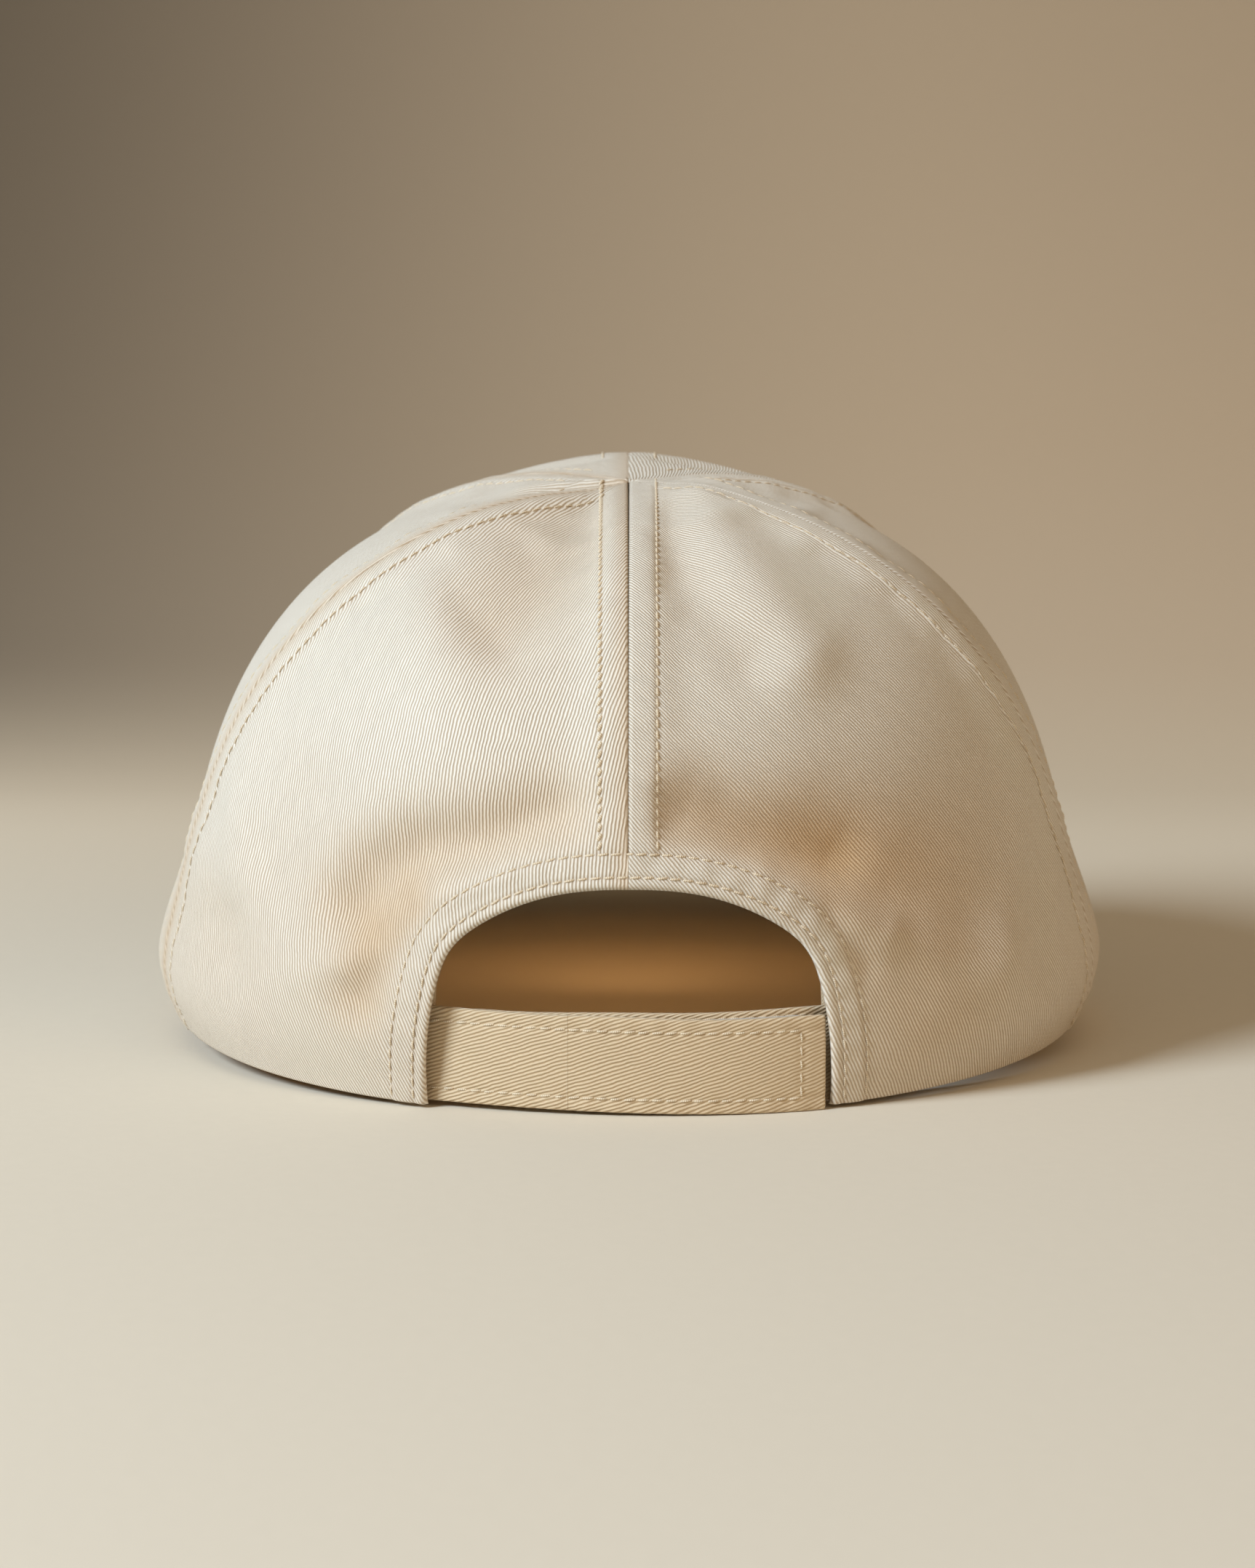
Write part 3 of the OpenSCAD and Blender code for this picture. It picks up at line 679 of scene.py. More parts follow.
class Nodes:
    """A small builder for shader node trees."""

    def __init__(self, name):
        self.material = bpy.data.materials.new(name)
        self.material.use_nodes = True
        self.tree = self.material.node_tree
        self.shader = self.tree.nodes["Principled BSDF"]

    def new(self, kind, *inputs, **settings):
        """A node with these inputs, in order, and these settings."""
        node = self.tree.nodes.new("ShaderNode" + kind)
        for key, setting in settings.items():
            setattr(node, key, setting)
        for socket, value in zip(node.inputs, inputs):
            self.feed(socket, value)
        return node

    def feed(self, socket, value):
        if isinstance(value, Value):
            value = value.socket
        if isinstance(value, bpy.types.NodeSocket):
            self.tree.links.new(value, socket)
        else:
            socket.default_value = value

    def math(self, operation, *values, clamp=False):
        node = self.new("Math", *values, operation=operation, use_clamp=clamp)
        return Value(self, node.outputs[0])

    def sine(self, value):
        return self.math("SINE", value)

    def wave(self, turns):
        """A wave between 0 and 1, once for every whole turn."""
        return self.sine(turns * (2 * math.pi)) * 0.5 + 0.5

    def noise(self, vector, scale, detail=2.0, rough=0.5):
        node = self.new("TexNoise")
        for label, value in (("Vector", vector), ("Scale", scale), ("Detail", detail), ("Roughness", rough)):
            self.feed(node.inputs[label], value)
        return Value(self, node.outputs["Fac"])

    def combine(self, x, y, z=0.0):
        return self.new("CombineXYZ", x, y, z).outputs[0]

    def split(self, vector):
        return [Value(self, socket) for socket in self.new("SeparateXYZ", vector).outputs]

    def mix(self, factor, low, high, blend="MIX"):
        node = self.new("Mix", data_type="RGBA", blend_type=blend)
        self.feed(node.inputs[0], factor)
        for socket, value in ((node.inputs[6], low), (node.inputs[7], high)):
            self.feed(socket, (*value, 1.0) if isinstance(value, tuple) else value)
        return node.outputs[2]

    def tinted(self, color, tint):
        return self.mix(1.0, color, tint, "MULTIPLY")

    def eased(self, value, low, high, start, end):
        """A smooth change from start to end while the value goes from low to high."""
        return self.new("MapRange", value, low, high, start, end, interpolation_type="SMOOTHSTEP").outputs[0]

    def cloth_plane(self):
        across, along, _ = self.split(self.new("UVMap").outputs[0])
        return across, along

    def place(self):
        return self.new("NewGeometry").outputs["Position"]

    def painted(self, label):
        return Value(self, self.new("Attribute", attribute_name=label).outputs["Fac"])

    def hidden_from_behind(self):
        """The camera sees through the back of the surface."""
        behind = self.new("NewGeometry").outputs["Backfacing"]
        looking = self.new("LightPath").outputs["Is Camera Ray"]
        clear = self.new("BsdfTransparent").outputs[0]
        both = self.new("MixShader", self.math("MULTIPLY", behind, looking), self.shader.outputs[0], clear)
        self.feed(self.tree.nodes["Material Output"].inputs["Surface"], both.outputs[0])

    def finish(self, color, height, depth, rough=0.9, sheen=0.25, specular=0.25):
        bump = self.new("Bump")
        looks = (
            (bump, "Strength", 1.0), (bump, "Distance", depth), (bump, "Height", height),
            (self.shader, "Normal", bump.outputs[0]), (self.shader, "Base Color", color),
            (self.shader, "Roughness", rough), (self.shader, "Specular IOR Level", specular),
            (self.shader, "Sheen Weight", sheen), (self.shader, "Sheen Roughness", 0.5),
            (self.shader, "Sheen Tint", (1.0, 0.93, 0.8, 1.0)))
        for node, label, value in looks:
            self.feed(node.inputs[label], value)
        return self.material


RIB_PITCH = 0.70
RIB_CONTRAST = 0.8
WEFT_CONTRAST = 0.06
GROOVE_COLOR = (0.42, 0.32, 0.20)
# painted shade tints: warm over hollows and low down, dark brown in creases
WARM_SHADE_TINT = (0.80, 0.60, 0.40)
CREASE_SHADE_COLOR = (0.28, 0.17, 0.08)


def twill(name, light, groove=GROOVE_COLOR, depth=0.00026):
    """Diagonal twill: the UV map gives mm across the ribs and mm along them."""
    n = Nodes(name)
    across, along = n.cloth_plane()
    plane = n.combine(across, along)
    ribs = (across + (n.noise(plane, 0.16, 3.0) - 0.5) * 0.9) / RIB_PITCH
    body = n.wave(ribs) ** 0.7
    weft = n.wave(along / 1.25 + n.math("FLOOR", ribs + 0.25) * 0.39)
    slub = n.noise(n.combine(across * 1.6, along * 0.22), 1.0, 3.0, 0.6)
    fuzz = n.noise(plane, 7.0, 3.0, 0.7)
    height = body * 0.62 + weft * body * 0.08 + fuzz * 0.25 + slub * 0.25
    plain = 1 - RIB_CONTRAST - WEFT_CONTRAST / 2
    lit = n.math("ADD", body * RIB_CONTRAST + weft * WEFT_CONTRAST, plain, clamp=True)
    patches = n.noise(n.place(), 22.0, 4.0, 0.6)
    tone = slub * 0.16 + patches * 0.10 + fuzz * 0.10 + 0.82
    color = n.tinted(n.mix(lit, groove, light), n.combine(tone, tone ** 1.08, tone ** 1.2))
    # painted warm shade over hollows, low down and beside the centre seam
    color = n.mix(n.painted("warm_shade"), color, n.tinted(color, WARM_SHADE_TINT))
    # painted dark shade in seam valleys, stitch grooves and over the inner face
    color = n.mix(n.painted("crease_shade") * 0.75, color, n.mix(0.6, color, CREASE_SHADE_COLOR))
    return n.finish(color, height, depth)


def woven(name, light, dark, scale=1.0):
    """Plain woven tape or band: fine threads both ways."""
    n = Nodes(name)
    across, along = n.cloth_plane()
    warp = n.sine(across * (2 * math.pi / (0.55 * scale)))
    weft = n.sine(along * (2 * math.pi / (0.5 * scale)))
    weave = warp * weft * 0.5 + 0.5
    mixed = weave * 0.5 + n.noise(n.combine(across, along), 3.0, 3.0, 0.65) * 0.5
    tone = n.noise(n.place(), 30.0, 3.0) * 0.2 + 0.9
    color = n.tinted(n.mix(mixed, dark, light), n.combine(tone, tone, tone * 0.98))
    return n.finish(color, mixed, 0.00012)


def thread_finish():
    n = Nodes("sewing_thread")
    across, along = n.cloth_plane()
    twist = n.sine(along * (2 * math.pi / 0.42) + across) * 0.5 + 0.5
    fuzz = n.noise(n.place(), 4000.0, 2.0)
    color = n.mix(twist, (0.60, 0.49, 0.33), (0.86, 0.79, 0.66))
    color = n.mix(fuzz * 0.35, color, (0.50, 0.40, 0.26))
    return n.finish(color, twist, 0.00006, rough=0.6, sheen=0.2, specular=0.4)


def buckram_finish():
    n = Nodes("buckram_mesh")
    warp, weft = (n.math("ABSOLUTE", n.sine(way * (math.pi / 1.1))) ** 0.6 for way in n.cloth_plane())
    holes = warp * weft
    color = n.mix(holes, (0.78, 0.76, 0.70), (0.45, 0.41, 0.33))
    height = n.noise(n.place(), 900.0, 2.0) * 0.3 - holes
    return n.finish(color, height, 0.0002, rough=0.7, sheen=0.1)


def plastic_finish():
    n = Nodes("visor_board_plastic")
    grain = n.noise(n.place(), 1600.0, 3.0, 0.6)
    color = n.mix(n.noise(n.place(), 40.0, 2.0), (0.74, 0.74, 0.71), (0.83, 0.83, 0.80))
    return n.finish(color, grain, 0.00004, rough=grain * 0.2 + 0.38, sheen=0.0, specular=0.5)


def pile_finish(name, light, dark, scale, rough):
    n = Nodes(name)
    tufts = n.noise(n.place(), scale, 4.0, 0.75)
    patches = n.noise(n.place(), scale * 0.12, 2.0)
    color = n.mix(patches * 0.3, n.mix(tufts, dark, light), dark)
    return n.finish(color, tufts, 0.0003, rough=rough, sheen=0.4)


crown_twill = twill("crown_twill_weave", (0.85, 0.845, 0.79))
visor_twill = twill("visor_twill_weave", (0.85, 0.835, 0.77))
strap_twill = twill("strap_twill_weave", (0.74, 0.63, 0.455), groove=(0.40, 0.265, 0.135), depth=0.00024)
band_weave = woven("sweatband_weave", (0.72, 0.62, 0.47), (0.46, 0.35, 0.22), 1.3)
tape_weave = woven("seam_tape_weave", (0.74, 0.66, 0.52), (0.50, 0.40, 0.27))
thread = thread_finish()
buckram = buckram_finish()
board_plastic = plastic_finish()
hook_nylon = pile_finish("hook_tape_nylon", (0.62, 0.60, 0.55), (0.36, 0.34, 0.30), 2200.0, 0.5)
loop_nylon = pile_finish("loop_tape_nylon", (0.66, 0.64, 0.60), (0.38, 0.36, 0.33), 1500.0, 0.9)


# ---- crown panels --------------------------------------------------------------------------------

HALF_ROOT_PI = 0.886


def rib_layout(u, v, lean, extra, middle, spread):
    """UV map for twill: mm across and along ribs that lean by tan(angle), more so near one height."""
    bend = extra * spread * HALF_ROOT_PI * np.vectorize(math.erf)((v - middle) / spread)
    slope = math.hypot(1, lean)
    return np.stack([(u + lean * v + bend) / slope, (v - lean * u) / slope], axis=-1)


# Lean of the ribs on each panel: lean, extra lean, at which height, over what spread
RIBS = {
    "rear_left": (0.04, 0.50, 8.0, 28.0), "rear_right": (0.42, 0.30, 66.0, 34.0),
    "side_left": (0.35, 0.0, 50.0, 30.0), "side_right": (0.35, 0.0, 50.0, 30.0),
    "front_left": (0.55, 0.0, 50.0, 30.0), "front_right": (0.55, 0.0, 50.0, 30.0),
}


def build_panel(part, hand, side, angles, middle, seams):
    """A panel of the crown from two grids of angles, given for the right side."""
    th, phi = side * angles[0], angles[1]
    points, normals, moved, height, crease_shade, warm_shade = cloth_surface(th, phi, seams, (side,))
    u = (th - side * middle).ravel() * np.pi / 180 * CROWN_HALF_WIDTH * round_r(phi).ravel()
    uvs = rib_layout(u, climb_to(phi).ravel(), *RIBS[part + "_" + hand])
    inner = moved - TWILL + np.minimum(0, 0.45 * height)
    shape = th.shape + (3,)
    face, back = (tipped(points + normals * out[:, None]).reshape(shape) for out in (moved + height, inner))
    node = part + "_panel_" + hand
    sheet(node + "_cloth", face, back, uvs, crease_shade, warm_shade,
          material=crown_twill, slot="crown_twill", nodes=(node,))


TOP_RADIUS = 0.25               # the panels stop this near to the middle of the top
top_phi = float(phi_at_radius(TOP_RADIUS))


def gore_angles(i):
    """Angles over the panel between seam i and the next one."""
    across = stations(84, 7, 7, 0.3, 1.15)
    upwards = stations(WHOLE_RISE, 2.4, 3, 0.4, 1.15)
    phi = np.minimum(phi_at_climb(upwards * WHOLE_RISE), top_phi)
    phi, share = np.meshgrid(phi, across, indexing="ij")
    return seam_angle(i, phi) + share * (seam_angle(i + 1, phi) - seam_angle(i, phi)), phi


def spread_out(th, phi):
    """The crown laid flat, round the middle of its top."""
    r = WHOLE_RISE - climb_to(phi)
    return np.stack([r * np.sin(np.radians(th)), -r * np.cos(np.radians(th))], axis=-1)


def rear_angles():
    """Angles over a rear panel, which the back opening cuts into."""
    top = climb_to(top_phi)
    seam_phi = phi_at_climb(np.linspace(0, top, 500))
    hem_th = np.linspace(arch_angles(ARCH[0])[0], REAR_SEAM, 300)
    centre_phi = phi_at_climb(np.linspace(centre_climb(ARCH[-1][1]), top, 400))
    u = stations(98, 9, 6, 0.33, 0.95)
    v = stations(112, 2.4, 7, 0.33, 0.85)
    left = even_rows(spread_out(*arch_angles(ARCH)), v)
    right = even_rows(spread_out(seam_angle(1, seam_phi), seam_phi), v)
    low = even_rows(spread_out(hem_th, 0 * hem_th), u)
    high = even_rows(spread_out(0 * centre_phi, centre_phi), u)
    uu, vv = u[None, :, None], v[:, None, None]
    bottom = (1 - vv) * ((1 - uu) * low[0] + uu * low[-1])
    corners = bottom + vv * ((1 - uu) * high[0] + uu * high[-1])
    place = (1 - uu) * left[:, None] + uu * right[:, None] + (1 - vv) * low[None] + vv * high[None] - corners
    th = np.degrees(np.arctan2(place[..., 0], -place[..., 1]))
    return th, phi_at_climb(WHOLE_RISE - np.linalg.norm(place, axis=-1))


for side, hand in HANDS:
    build_panel("rear", hand, side, rear_angles(), REAR_SEAM / 2, (0, 1))
    build_panel("side", hand, side, gore_angles(1), (REAR_SEAM + FRONT_SEAM) / 2, (1, 2))
    build_panel("front", hand, side, gore_angles(2), (180 + FRONT_SEAM) / 2, (2, 3))


# ---- stitches ------------------------------------------------------------------------------------

# A stitch's rings, as shares of its length and of its half width
STITCH_RINGS = np.array([
    (-0.5, 0.0), (-0.46, 0.62), (-0.32, 0.95), (0.0, 1.0), (0.32, 0.95), (0.46, 0.62), (0.5, 0.0)])
STITCH_SIDES = 6
UNEVEN = 0.03                   # spread of the stitches' turns and lengths


def stitch_mesh(points, normals, pitch=2.5, length=2.05, width=0.46, bow=0.2, skew=0.10):
    """Separate stitches along a row on the cloth. Gives points in the row's own frame, faces and UVs."""
    run = run_of(points)
    count = max(2, int(run[-1] / pitch) + 1)
    rows = np.interp(np.linspace(0, run[-1], count), run, np.arange(len(points)))
    rows = rows[:-1] + np.diff(rows) / 2
    low, last = np.floor(rows).astype(int), len(points) - 1
    high, part = np.minimum(low + 1, last), (rows - low)[:, None]
    centre = points[low] * (1 - part) + points[high] * part
    normal = unit(normals[low] * (1 - part) + normals[high] * part)
    along = unit(points[np.minimum(low + 2, last)] - points[np.maximum(low - 1, 0)])
    across = unit(np.cross(normal, along))
    turn = skew + rng.normal(0, UNEVEN, len(centre))[:, None]
    along, across = along * np.cos(turn) + across * np.sin(turn), across * np.cos(turn) - along * np.sin(turn)
    sizes = length * (1 + rng.normal(0, UNEVEN, len(centre)))
    angles = np.arange(STITCH_SIDES) * 2 * np.pi / STITCH_SIDES
    round_it = np.tile(angles, len(STITCH_RINGS))
    reach = np.repeat(STITCH_RINGS[:, 0], STITCH_SIDES)
    radius = np.repeat(STITCH_RINGS[:, 1], STITCH_SIDES) * width / 2 + 0.01
    sideways = radius * np.cos(round_it)
    lift = radius * np.sin(round_it) * 0.8 + bow * (1 - 5.5 * reach ** 2)
    verts = (centre[:, None] + along[:, None] * (reach[None, :, None] * sizes[:, None, None])
             + across[:, None] * sideways[None, :, None] + normal[:, None] * lift[None, :, None])
    ring = np.arange(len(reach)).reshape(len(STITCH_RINGS), STITCH_SIDES)
    nxt = np.roll(ring, -1, axis=1)
    sides = np.stack([ring[:-1], nxt[:-1], nxt[1:], ring[1:]], axis=-1).reshape(-1, 4)
    ends = [end[corner] for corner in ([0, 1, 2, 3], [0, 3, 4, 5]) for end in (ring[0][::-1], ring[-1])]
    one = np.concatenate([sides, np.array(ends)])
    faces = (one[None] + np.arange(len(centre))[:, None, None] * ring.size).reshape(-1, 4)
    uv = np.stack([np.tile(round_it, (len(centre), 1)), reach[None] * sizes[:, None]], axis=-1)
    return verts.reshape(-1, 3), faces, uv.reshape(-1, 2)


def stitches(name, rows, transform, body="cap", nodes=()):
    """One piece from several rows of stitches."""
    starts = np.cumsum([0] + [len(verts) for verts, _, _ in rows])
    faces = np.concatenate([row[1] + start for row, start in zip(rows, starts)])
    verts = transform(np.concatenate([row[0] for row in rows]))
    uvs = np.concatenate([row[2] for row in rows])
    return make_object(name, verts, faces, uvs, material=thread, slot="thread", body=body, nodes=nodes)


def cloth_row(th, phi, **look):
    points, normals, moved, height, _, _ = cloth_surface(th, phi)
    return stitch_mesh(points + normals * (moved + height)[:, None], normals, **look)


ROW_FOOT = 1.2                  # the rows start this far up from the hem
ROW_TOP_RADIUS = 13.0
FRONT_ROW_START = 22.0          # the front row starts this far down from the back row's end
BACK_ROW_START = ARCH_HEIGHT + 7.2


def centre_row(side):
    """Two rows beside the centre seam: up the back to the top, and down the front to the visor."""
    turn = climb_to_radius(STITCH_OFFSET)
    back = phi_at_climb(np.linspace(centre_climb(BACK_ROW_START), turn, 300))
    front = phi_at_climb(np.linspace(turn - FRONT_ROW_START, ROW_FOOT, 300))
    look = dict(pitch=1.75, width=0.66, skew=-0.5) if side < 0 else dict(pitch=2.1)
    return [cloth_row(side * span(STITCH_OFFSET, back), back, length=1.75, **look),
            cloth_row(side * (180 - span(STITCH_OFFSET, front)), front)]


rows = []
for side in BOTH:
    rows += centre_row(side)
    phi = phi_at_climb(np.linspace(ROW_FOOT, climb_to_radius(ROW_TOP_RADIUS), 300))
    for i in (1, 2):
        for way in BOTH:
            th = side * (seam_angle(i, phi) + way * span(STITCH_OFFSET, phi))
            rows.append(cloth_row(th, phi, width=0.4, bow=0.13))
stitches("crown_topstitching_thread", rows, tipped, nodes=("crown_topstitching",))

rows = []
for gap in ARCH_ROWS:
    line = arch_moved(WHOLE_ARCH, gap)
    rows.append(cloth_row(*arch_angles(line[line[:, 1] > 1.0]), length=2.1, width=0.44))
stitches("arch_topstitching_thread", rows, tipped, nodes=("arch_topstitching",))


# ---- linings inside the crown --------------------------------------------------------------------

def inside_sheet(name, th, phi, depth, thick, uvs, **rest):
    """A layer under the crown's cloth, at a depth below its outer face, with its edges thinned."""
    shape = np.shape(th)
    points, normals, moved = moved_layer(np.ravel(th).astype(float), np.ravel(phi).astype(float))
    thinned = np.full(shape, 0.5)
    thinned[1:-1, 1:-1] = 0.18
    thinned[2:-2, 2:-2] = 0.0
    shave = thinned.ravel() * thick * 0.8
    deep = np.broadcast_to(depth, shape).ravel() - moved
    face, back = (tipped(points - normals * level[:, None]).reshape(shape + (3,))
                  for level in (deep + shave, deep + thick - shave))
    return sheet(name, face, back, uvs, **rest)


ACROSS_TAPE = np.linspace(-1, 1, 15)
TAPE_LOOK = dict(material=tape_weave, slot="seam_tape")
TOP_PHI = 89.3                  # where the centre tape passes over the top


def tape_on_seam(i, name, start, side):
    phi = phi_at_climb(np.linspace(start, climb_to_radius(14), 120))
    phi, share = np.meshgrid(phi, ACROSS_TAPE, indexing="ij")
    th = side * (seam_angle(i, phi) + share * span(TAPE_WIDTH / 2, phi))
    depth = THIRD_LAYER - 0.18 * (1 - np.abs(share)) + 0.10 * bump_at(np.abs(share), 0.72, 0.1)
    uvs = np.stack([share * TAPE_WIDTH / 2, climb_to(phi)], axis=-1)
    inside_sheet(name + "_woven", th, phi, depth, BINDING, uvs, nodes=(name,), **TAPE_LOOK)


def front_backing(side, name):
    phi = phi_at_climb(np.linspace(9, climb_to(75), 96))
    phi, share = np.meshgrid(phi, np.linspace(0, 1, 56), indexing="ij")
    inset = span(1.5, phi)
    th = side * (seam_angle(2, phi) + inset + share * (180 - seam_angle(2, phi) - 2 * inset))
    uvs = np.stack([share * 90, climb_to(phi)], axis=-1)
    inside_sheet(name + "_mesh", th, phi, SECOND_LAYER, BINDING, uvs,
                 material=buckram, slot="buckram", nodes=(name,))


def center_tape():
    """The centre tape passes over the top: its rows are given by how far they are from the centre."""
    reach = np.linspace(-1, 1, 220)
    over = climb_to(TOP_PHI)
    starts = np.where(reach < 0, centre_climb(ARCH_HEIGHT + 1), 10.5)
    along = over - np.abs(reach) * (over - starts)
    radius = round_r(phi_at_climb(along)) * CROWN_HALF_WIDTH
    radius, share = np.meshgrid(radius * np.sign(reach), ACROSS_TAPE, indexing="ij")
    x = share * TAPE_WIDTH / 2
    th = np.degrees(np.arctan2(x, -radius))
    phi = phi_at_radius(np.hypot(np.where(np.abs(radius) > 30, 0, x), radius))
    uvs = np.stack([x, np.broadcast_to((along * np.sign(reach))[:, None], x.shape)], axis=-1)
    inside_sheet("seam_tape_center_woven", th, phi, THIRD_LAYER - 0.15 * (1 - np.abs(share)), BINDING, uvs,
                 nodes=("seam_tape_center",), **TAPE_LOOK)


def arch_binding():
    """Binding inside the edge of the back opening."""
    count = 260
    places = even_rows(WHOLE_ARCH, np.linspace(0, 1, count))
    widths = np.linspace(0.35, 0.3 + BINDING_WIDTH, 12)
    grid = np.stack([arch_moved(places, width) for width in widths], axis=1)
    grid[..., 1] = np.maximum(grid[..., 1], 0.4)
    uvs = np.stack(np.broadcast_arrays(widths[None, :], np.arange(count)[:, None] * 0.75), axis=-1)
    inside_sheet("arch_binding_woven", *arch_angles(grid), SECOND_LAYER, BINDING, uvs,
                 nodes=("arch_binding",), **TAPE_LOOK)


for side, hand in HANDS:
    tape_on_seam(1, "seam_tape_rear_" + hand, 0.8, side)
    tape_on_seam(2, "seam_tape_front_" + hand, 9.5, side)
    front_backing(side, "front_backing_" + hand)
center_tape()
arch_binding()


# ---- sweatband -----------------------------------------------------------------------------------

BAND_GIRTH = 96.0
band_start = float(arch_angles(np.array([ARCH_HALF_WIDTH + 0.4, 0]))[0])


def band_depth(th):
    """The band lies close to the cloth at its ends, and at its own depth further round."""
    close = THIRD_LAYER + COVER + 0.5
    ending = BAND_SETTLED - np.minimum(th, 360 - th)
    return close + (BAND_LAYER - close) * smooth(ending, 0, BAND_SETTLED - BAND_CLOSING)


def sweatband():
    top = BAND_HEIGHT
    band_z = np.concatenate([[0.5, 0.75, 1.2], np.linspace(2, top - 1.5, 26), [top - 0.7, top - 0.2, top]])
    z, th = np.meshgrid(band_z, np.linspace(band_start, 360 - band_start, 560), indexing="ij")
    along = np.radians(th) * BAND_GIRTH
    wave = 0.22 * np.sin(along / 17) * np.sin(np.pi * z / top)
    wave = wave + 0.12 * ripple(along, 7.5) * bump_at(z, top - 3, 3)
    stitched = sum(0.16 * bump_at(z, row, 0.5) for row in BAND_ROWS)
    inside_sheet("sweatband_cloth", th, phi_at_height(z), band_depth(th) - wave * 0.6 - stitched, BAND_THICK,
                 np.stack([z, along], axis=-1),
                 material=band_weave, slot="sweatband_twill", nodes=("sweatband",))


def band_row(height):
    th = np.linspace(band_start + 1.5, 360 - band_start - 1.5, 900)
    points, normals, moved = moved_layer(th, phi_at_height(height + 0 * th))
    inner = points - normals * (band_depth(th) + BAND_THICK - 0.12 - moved)[:, None]
    return stitch_mesh(inner, -normals, pitch=3.4, length=2.8, width=0.4)


sweatband()
stitches("sweatband_stitching", [band_row(height) for height in BAND_ROWS], tipped)


# ---- visor ---------------------------------------------------------------------------------------

ROOT_SHARE = 0.015              # the visor starts this share of its half width in from its corners
COVER_EDGE = -0.45
VISOR_COLUMNS = 300
outer_radius = HALF_BOARD + COVER_GAP + COVER
inner_radius = HALF_BOARD + COVER_GAP


def fan_share(w):
    """From -1..1 across the visor to 0 at a corner and 1 in the middle."""
    return 1 - np.abs(w) * (1 - ROOT_SHARE)


def fan_angle(share):
    return VISOR_START + (180 - VISOR_START) * share


def visor_place(w, r, edge):
    """A point on the visor's middle surface; w is -1..1 across it, r is 0 at the crown and 1 at the rim."""
    w, r, edge = np.broadcast_arrays(w, r, edge)
    share = fan_share(w)
    th = fan_angle(share)
    inner = (crown(th, 0 * th) + 0.35 * crown_normal(th, 0 * th))[..., :2]
    xy = inner * (1 - r[..., None]) + visor_outer(share, edge) * r[..., None]
    x = xy[..., 0] * np.where(w < 0, -1, 1)
    return np.stack([x, xy[..., 1], visor_z(x, xy[..., 1])], axis=-1)


def visor_up(points):
    zero = 0 * points[..., 0]
    return unit(np.stack([points[..., 0] / VISOR_BEND, zero + VISOR_TAN, zero + 1], axis=-1))


def visor_row_lines(count):
    """The right halves of the visor's rows of stitches, from the rim inwards."""
    w = np.linspace(0, 1, count)
    return [visor_outer(w, -FIRST_ROW - ROW_SPACING * row) for row in range(VISOR_ROWS)]


def visor_relief(points):
    """The cover sinks at each row of stitches and is a little full between them."""
    flat = points.reshape(-1, 3)[:, :2]
    nearest = np.min([line_distance(flat, mirrored(line))[0] for line in visor_row_lines(300)], axis=0)
    return (0.16 * smooth(nearest, 0, 3) - 0.16 * bump_at(nearest, 0, 0.55)).reshape(points.shape[:-1])


# Places across the visor from -1 to 1, denser towards its corners
even = np.linspace(-1, 1, VISOR_COLUMNS)
across = np.sign(even) * np.abs(even) ** 0.92
rim_turns = np.radians(np.linspace(12, 84, 8))


def cover_face(radius, way, relief_share):
    """The outer or inner face of a cover, which rolls over the board's rim."""
    flat = visor_place(across[None, :], np.linspace(0, 1, 84)[:, None], COVER_EDGE)
    bulge = visor_relief(flat) * relief_share
    rows = [flat + visor_up(flat) * (way * (radius + bulge))[..., None]]
    for turn in rim_turns:
        spot = visor_place(across, 1.0, COVER_EDGE + radius * math.sin(turn))
        rows.append((spot + visor_up(spot) * way * radius * math.cos(turn))[None])
    return np.concatenate(rows)


def leaning_uvs(x, y, lean):
    """UV map for cloth whose ribs lean by an angle."""
    c, s = math.cos(math.radians(lean)), math.sin(math.radians(lean))
    return np.stack([x * c + y * s, y * c - x * s], axis=-1)


def turn_up(depth, drop):
    """The under cover also turns up behind the front hem."""
    fan = fan_angle(fan_share(across))
    fan = np.where(across < 0, 360 - fan, fan)
    height = 8.0
    rings = []
    for z in (height, 6.0, 4.0, 2.0, 0.6, 0.0):
        phi = phi_at_height(z + 0 * fan)
        ring = crown(fan, phi) - depth * crown_normal(fan, phi)
        rings.append(ring - [0, 0, drop * (1 - z / height) ** 2])
    return np.stack(rings)


def visor_sheet(name, node, face, back, plane, material, slot):
    sheet(name, tipped(face), tipped(back), leaning_uvs(plane[..., 0], plane[..., 1], 50),
          material=material, slot=slot, nodes=(node,))


top_face, top_back = cover_face(outer_radius, 1, 1.0), cover_face(inner_radius, 1, 0.0)
visor_sheet("visor_top_cover_cloth", "visor_top_cover", top_face, top_back, top_face,
            visor_twill, "visor_twill")
under_face = np.concatenate([turn_up(THIRD_LAYER + COVER, outer_radius), cover_face(outer_radius, -1, 1.0)])
under_back = np.concatenate([turn_up(THIRD_LAYER, inner_radius), cover_face(inner_radius, -1, 0.0)])
visor_sheet("visor_under_cover_cloth", "visor_under_cover", under_face, under_back, under_face,
            visor_twill, "visor_twill")

r = np.concatenate([[0, 0.006], np.linspace(0.02, 0.98, 36), [0.994, 1.0]])
flat = visor_place(across[None, ::2], r[:, None], 0.0)
rim = np.minimum(1, np.minimum(r, 1 - r) / 0.012)[:, None]
half = visor_up(flat) * (HALF_BOARD * (0.55 + 0.45 * np.sqrt(1 - (1 - rim) ** 2)))[..., None]
visor_sheet("visor_board_plate", "visor_board", flat + half, flat - half, flat,
            board_plastic, "visor_plastic")

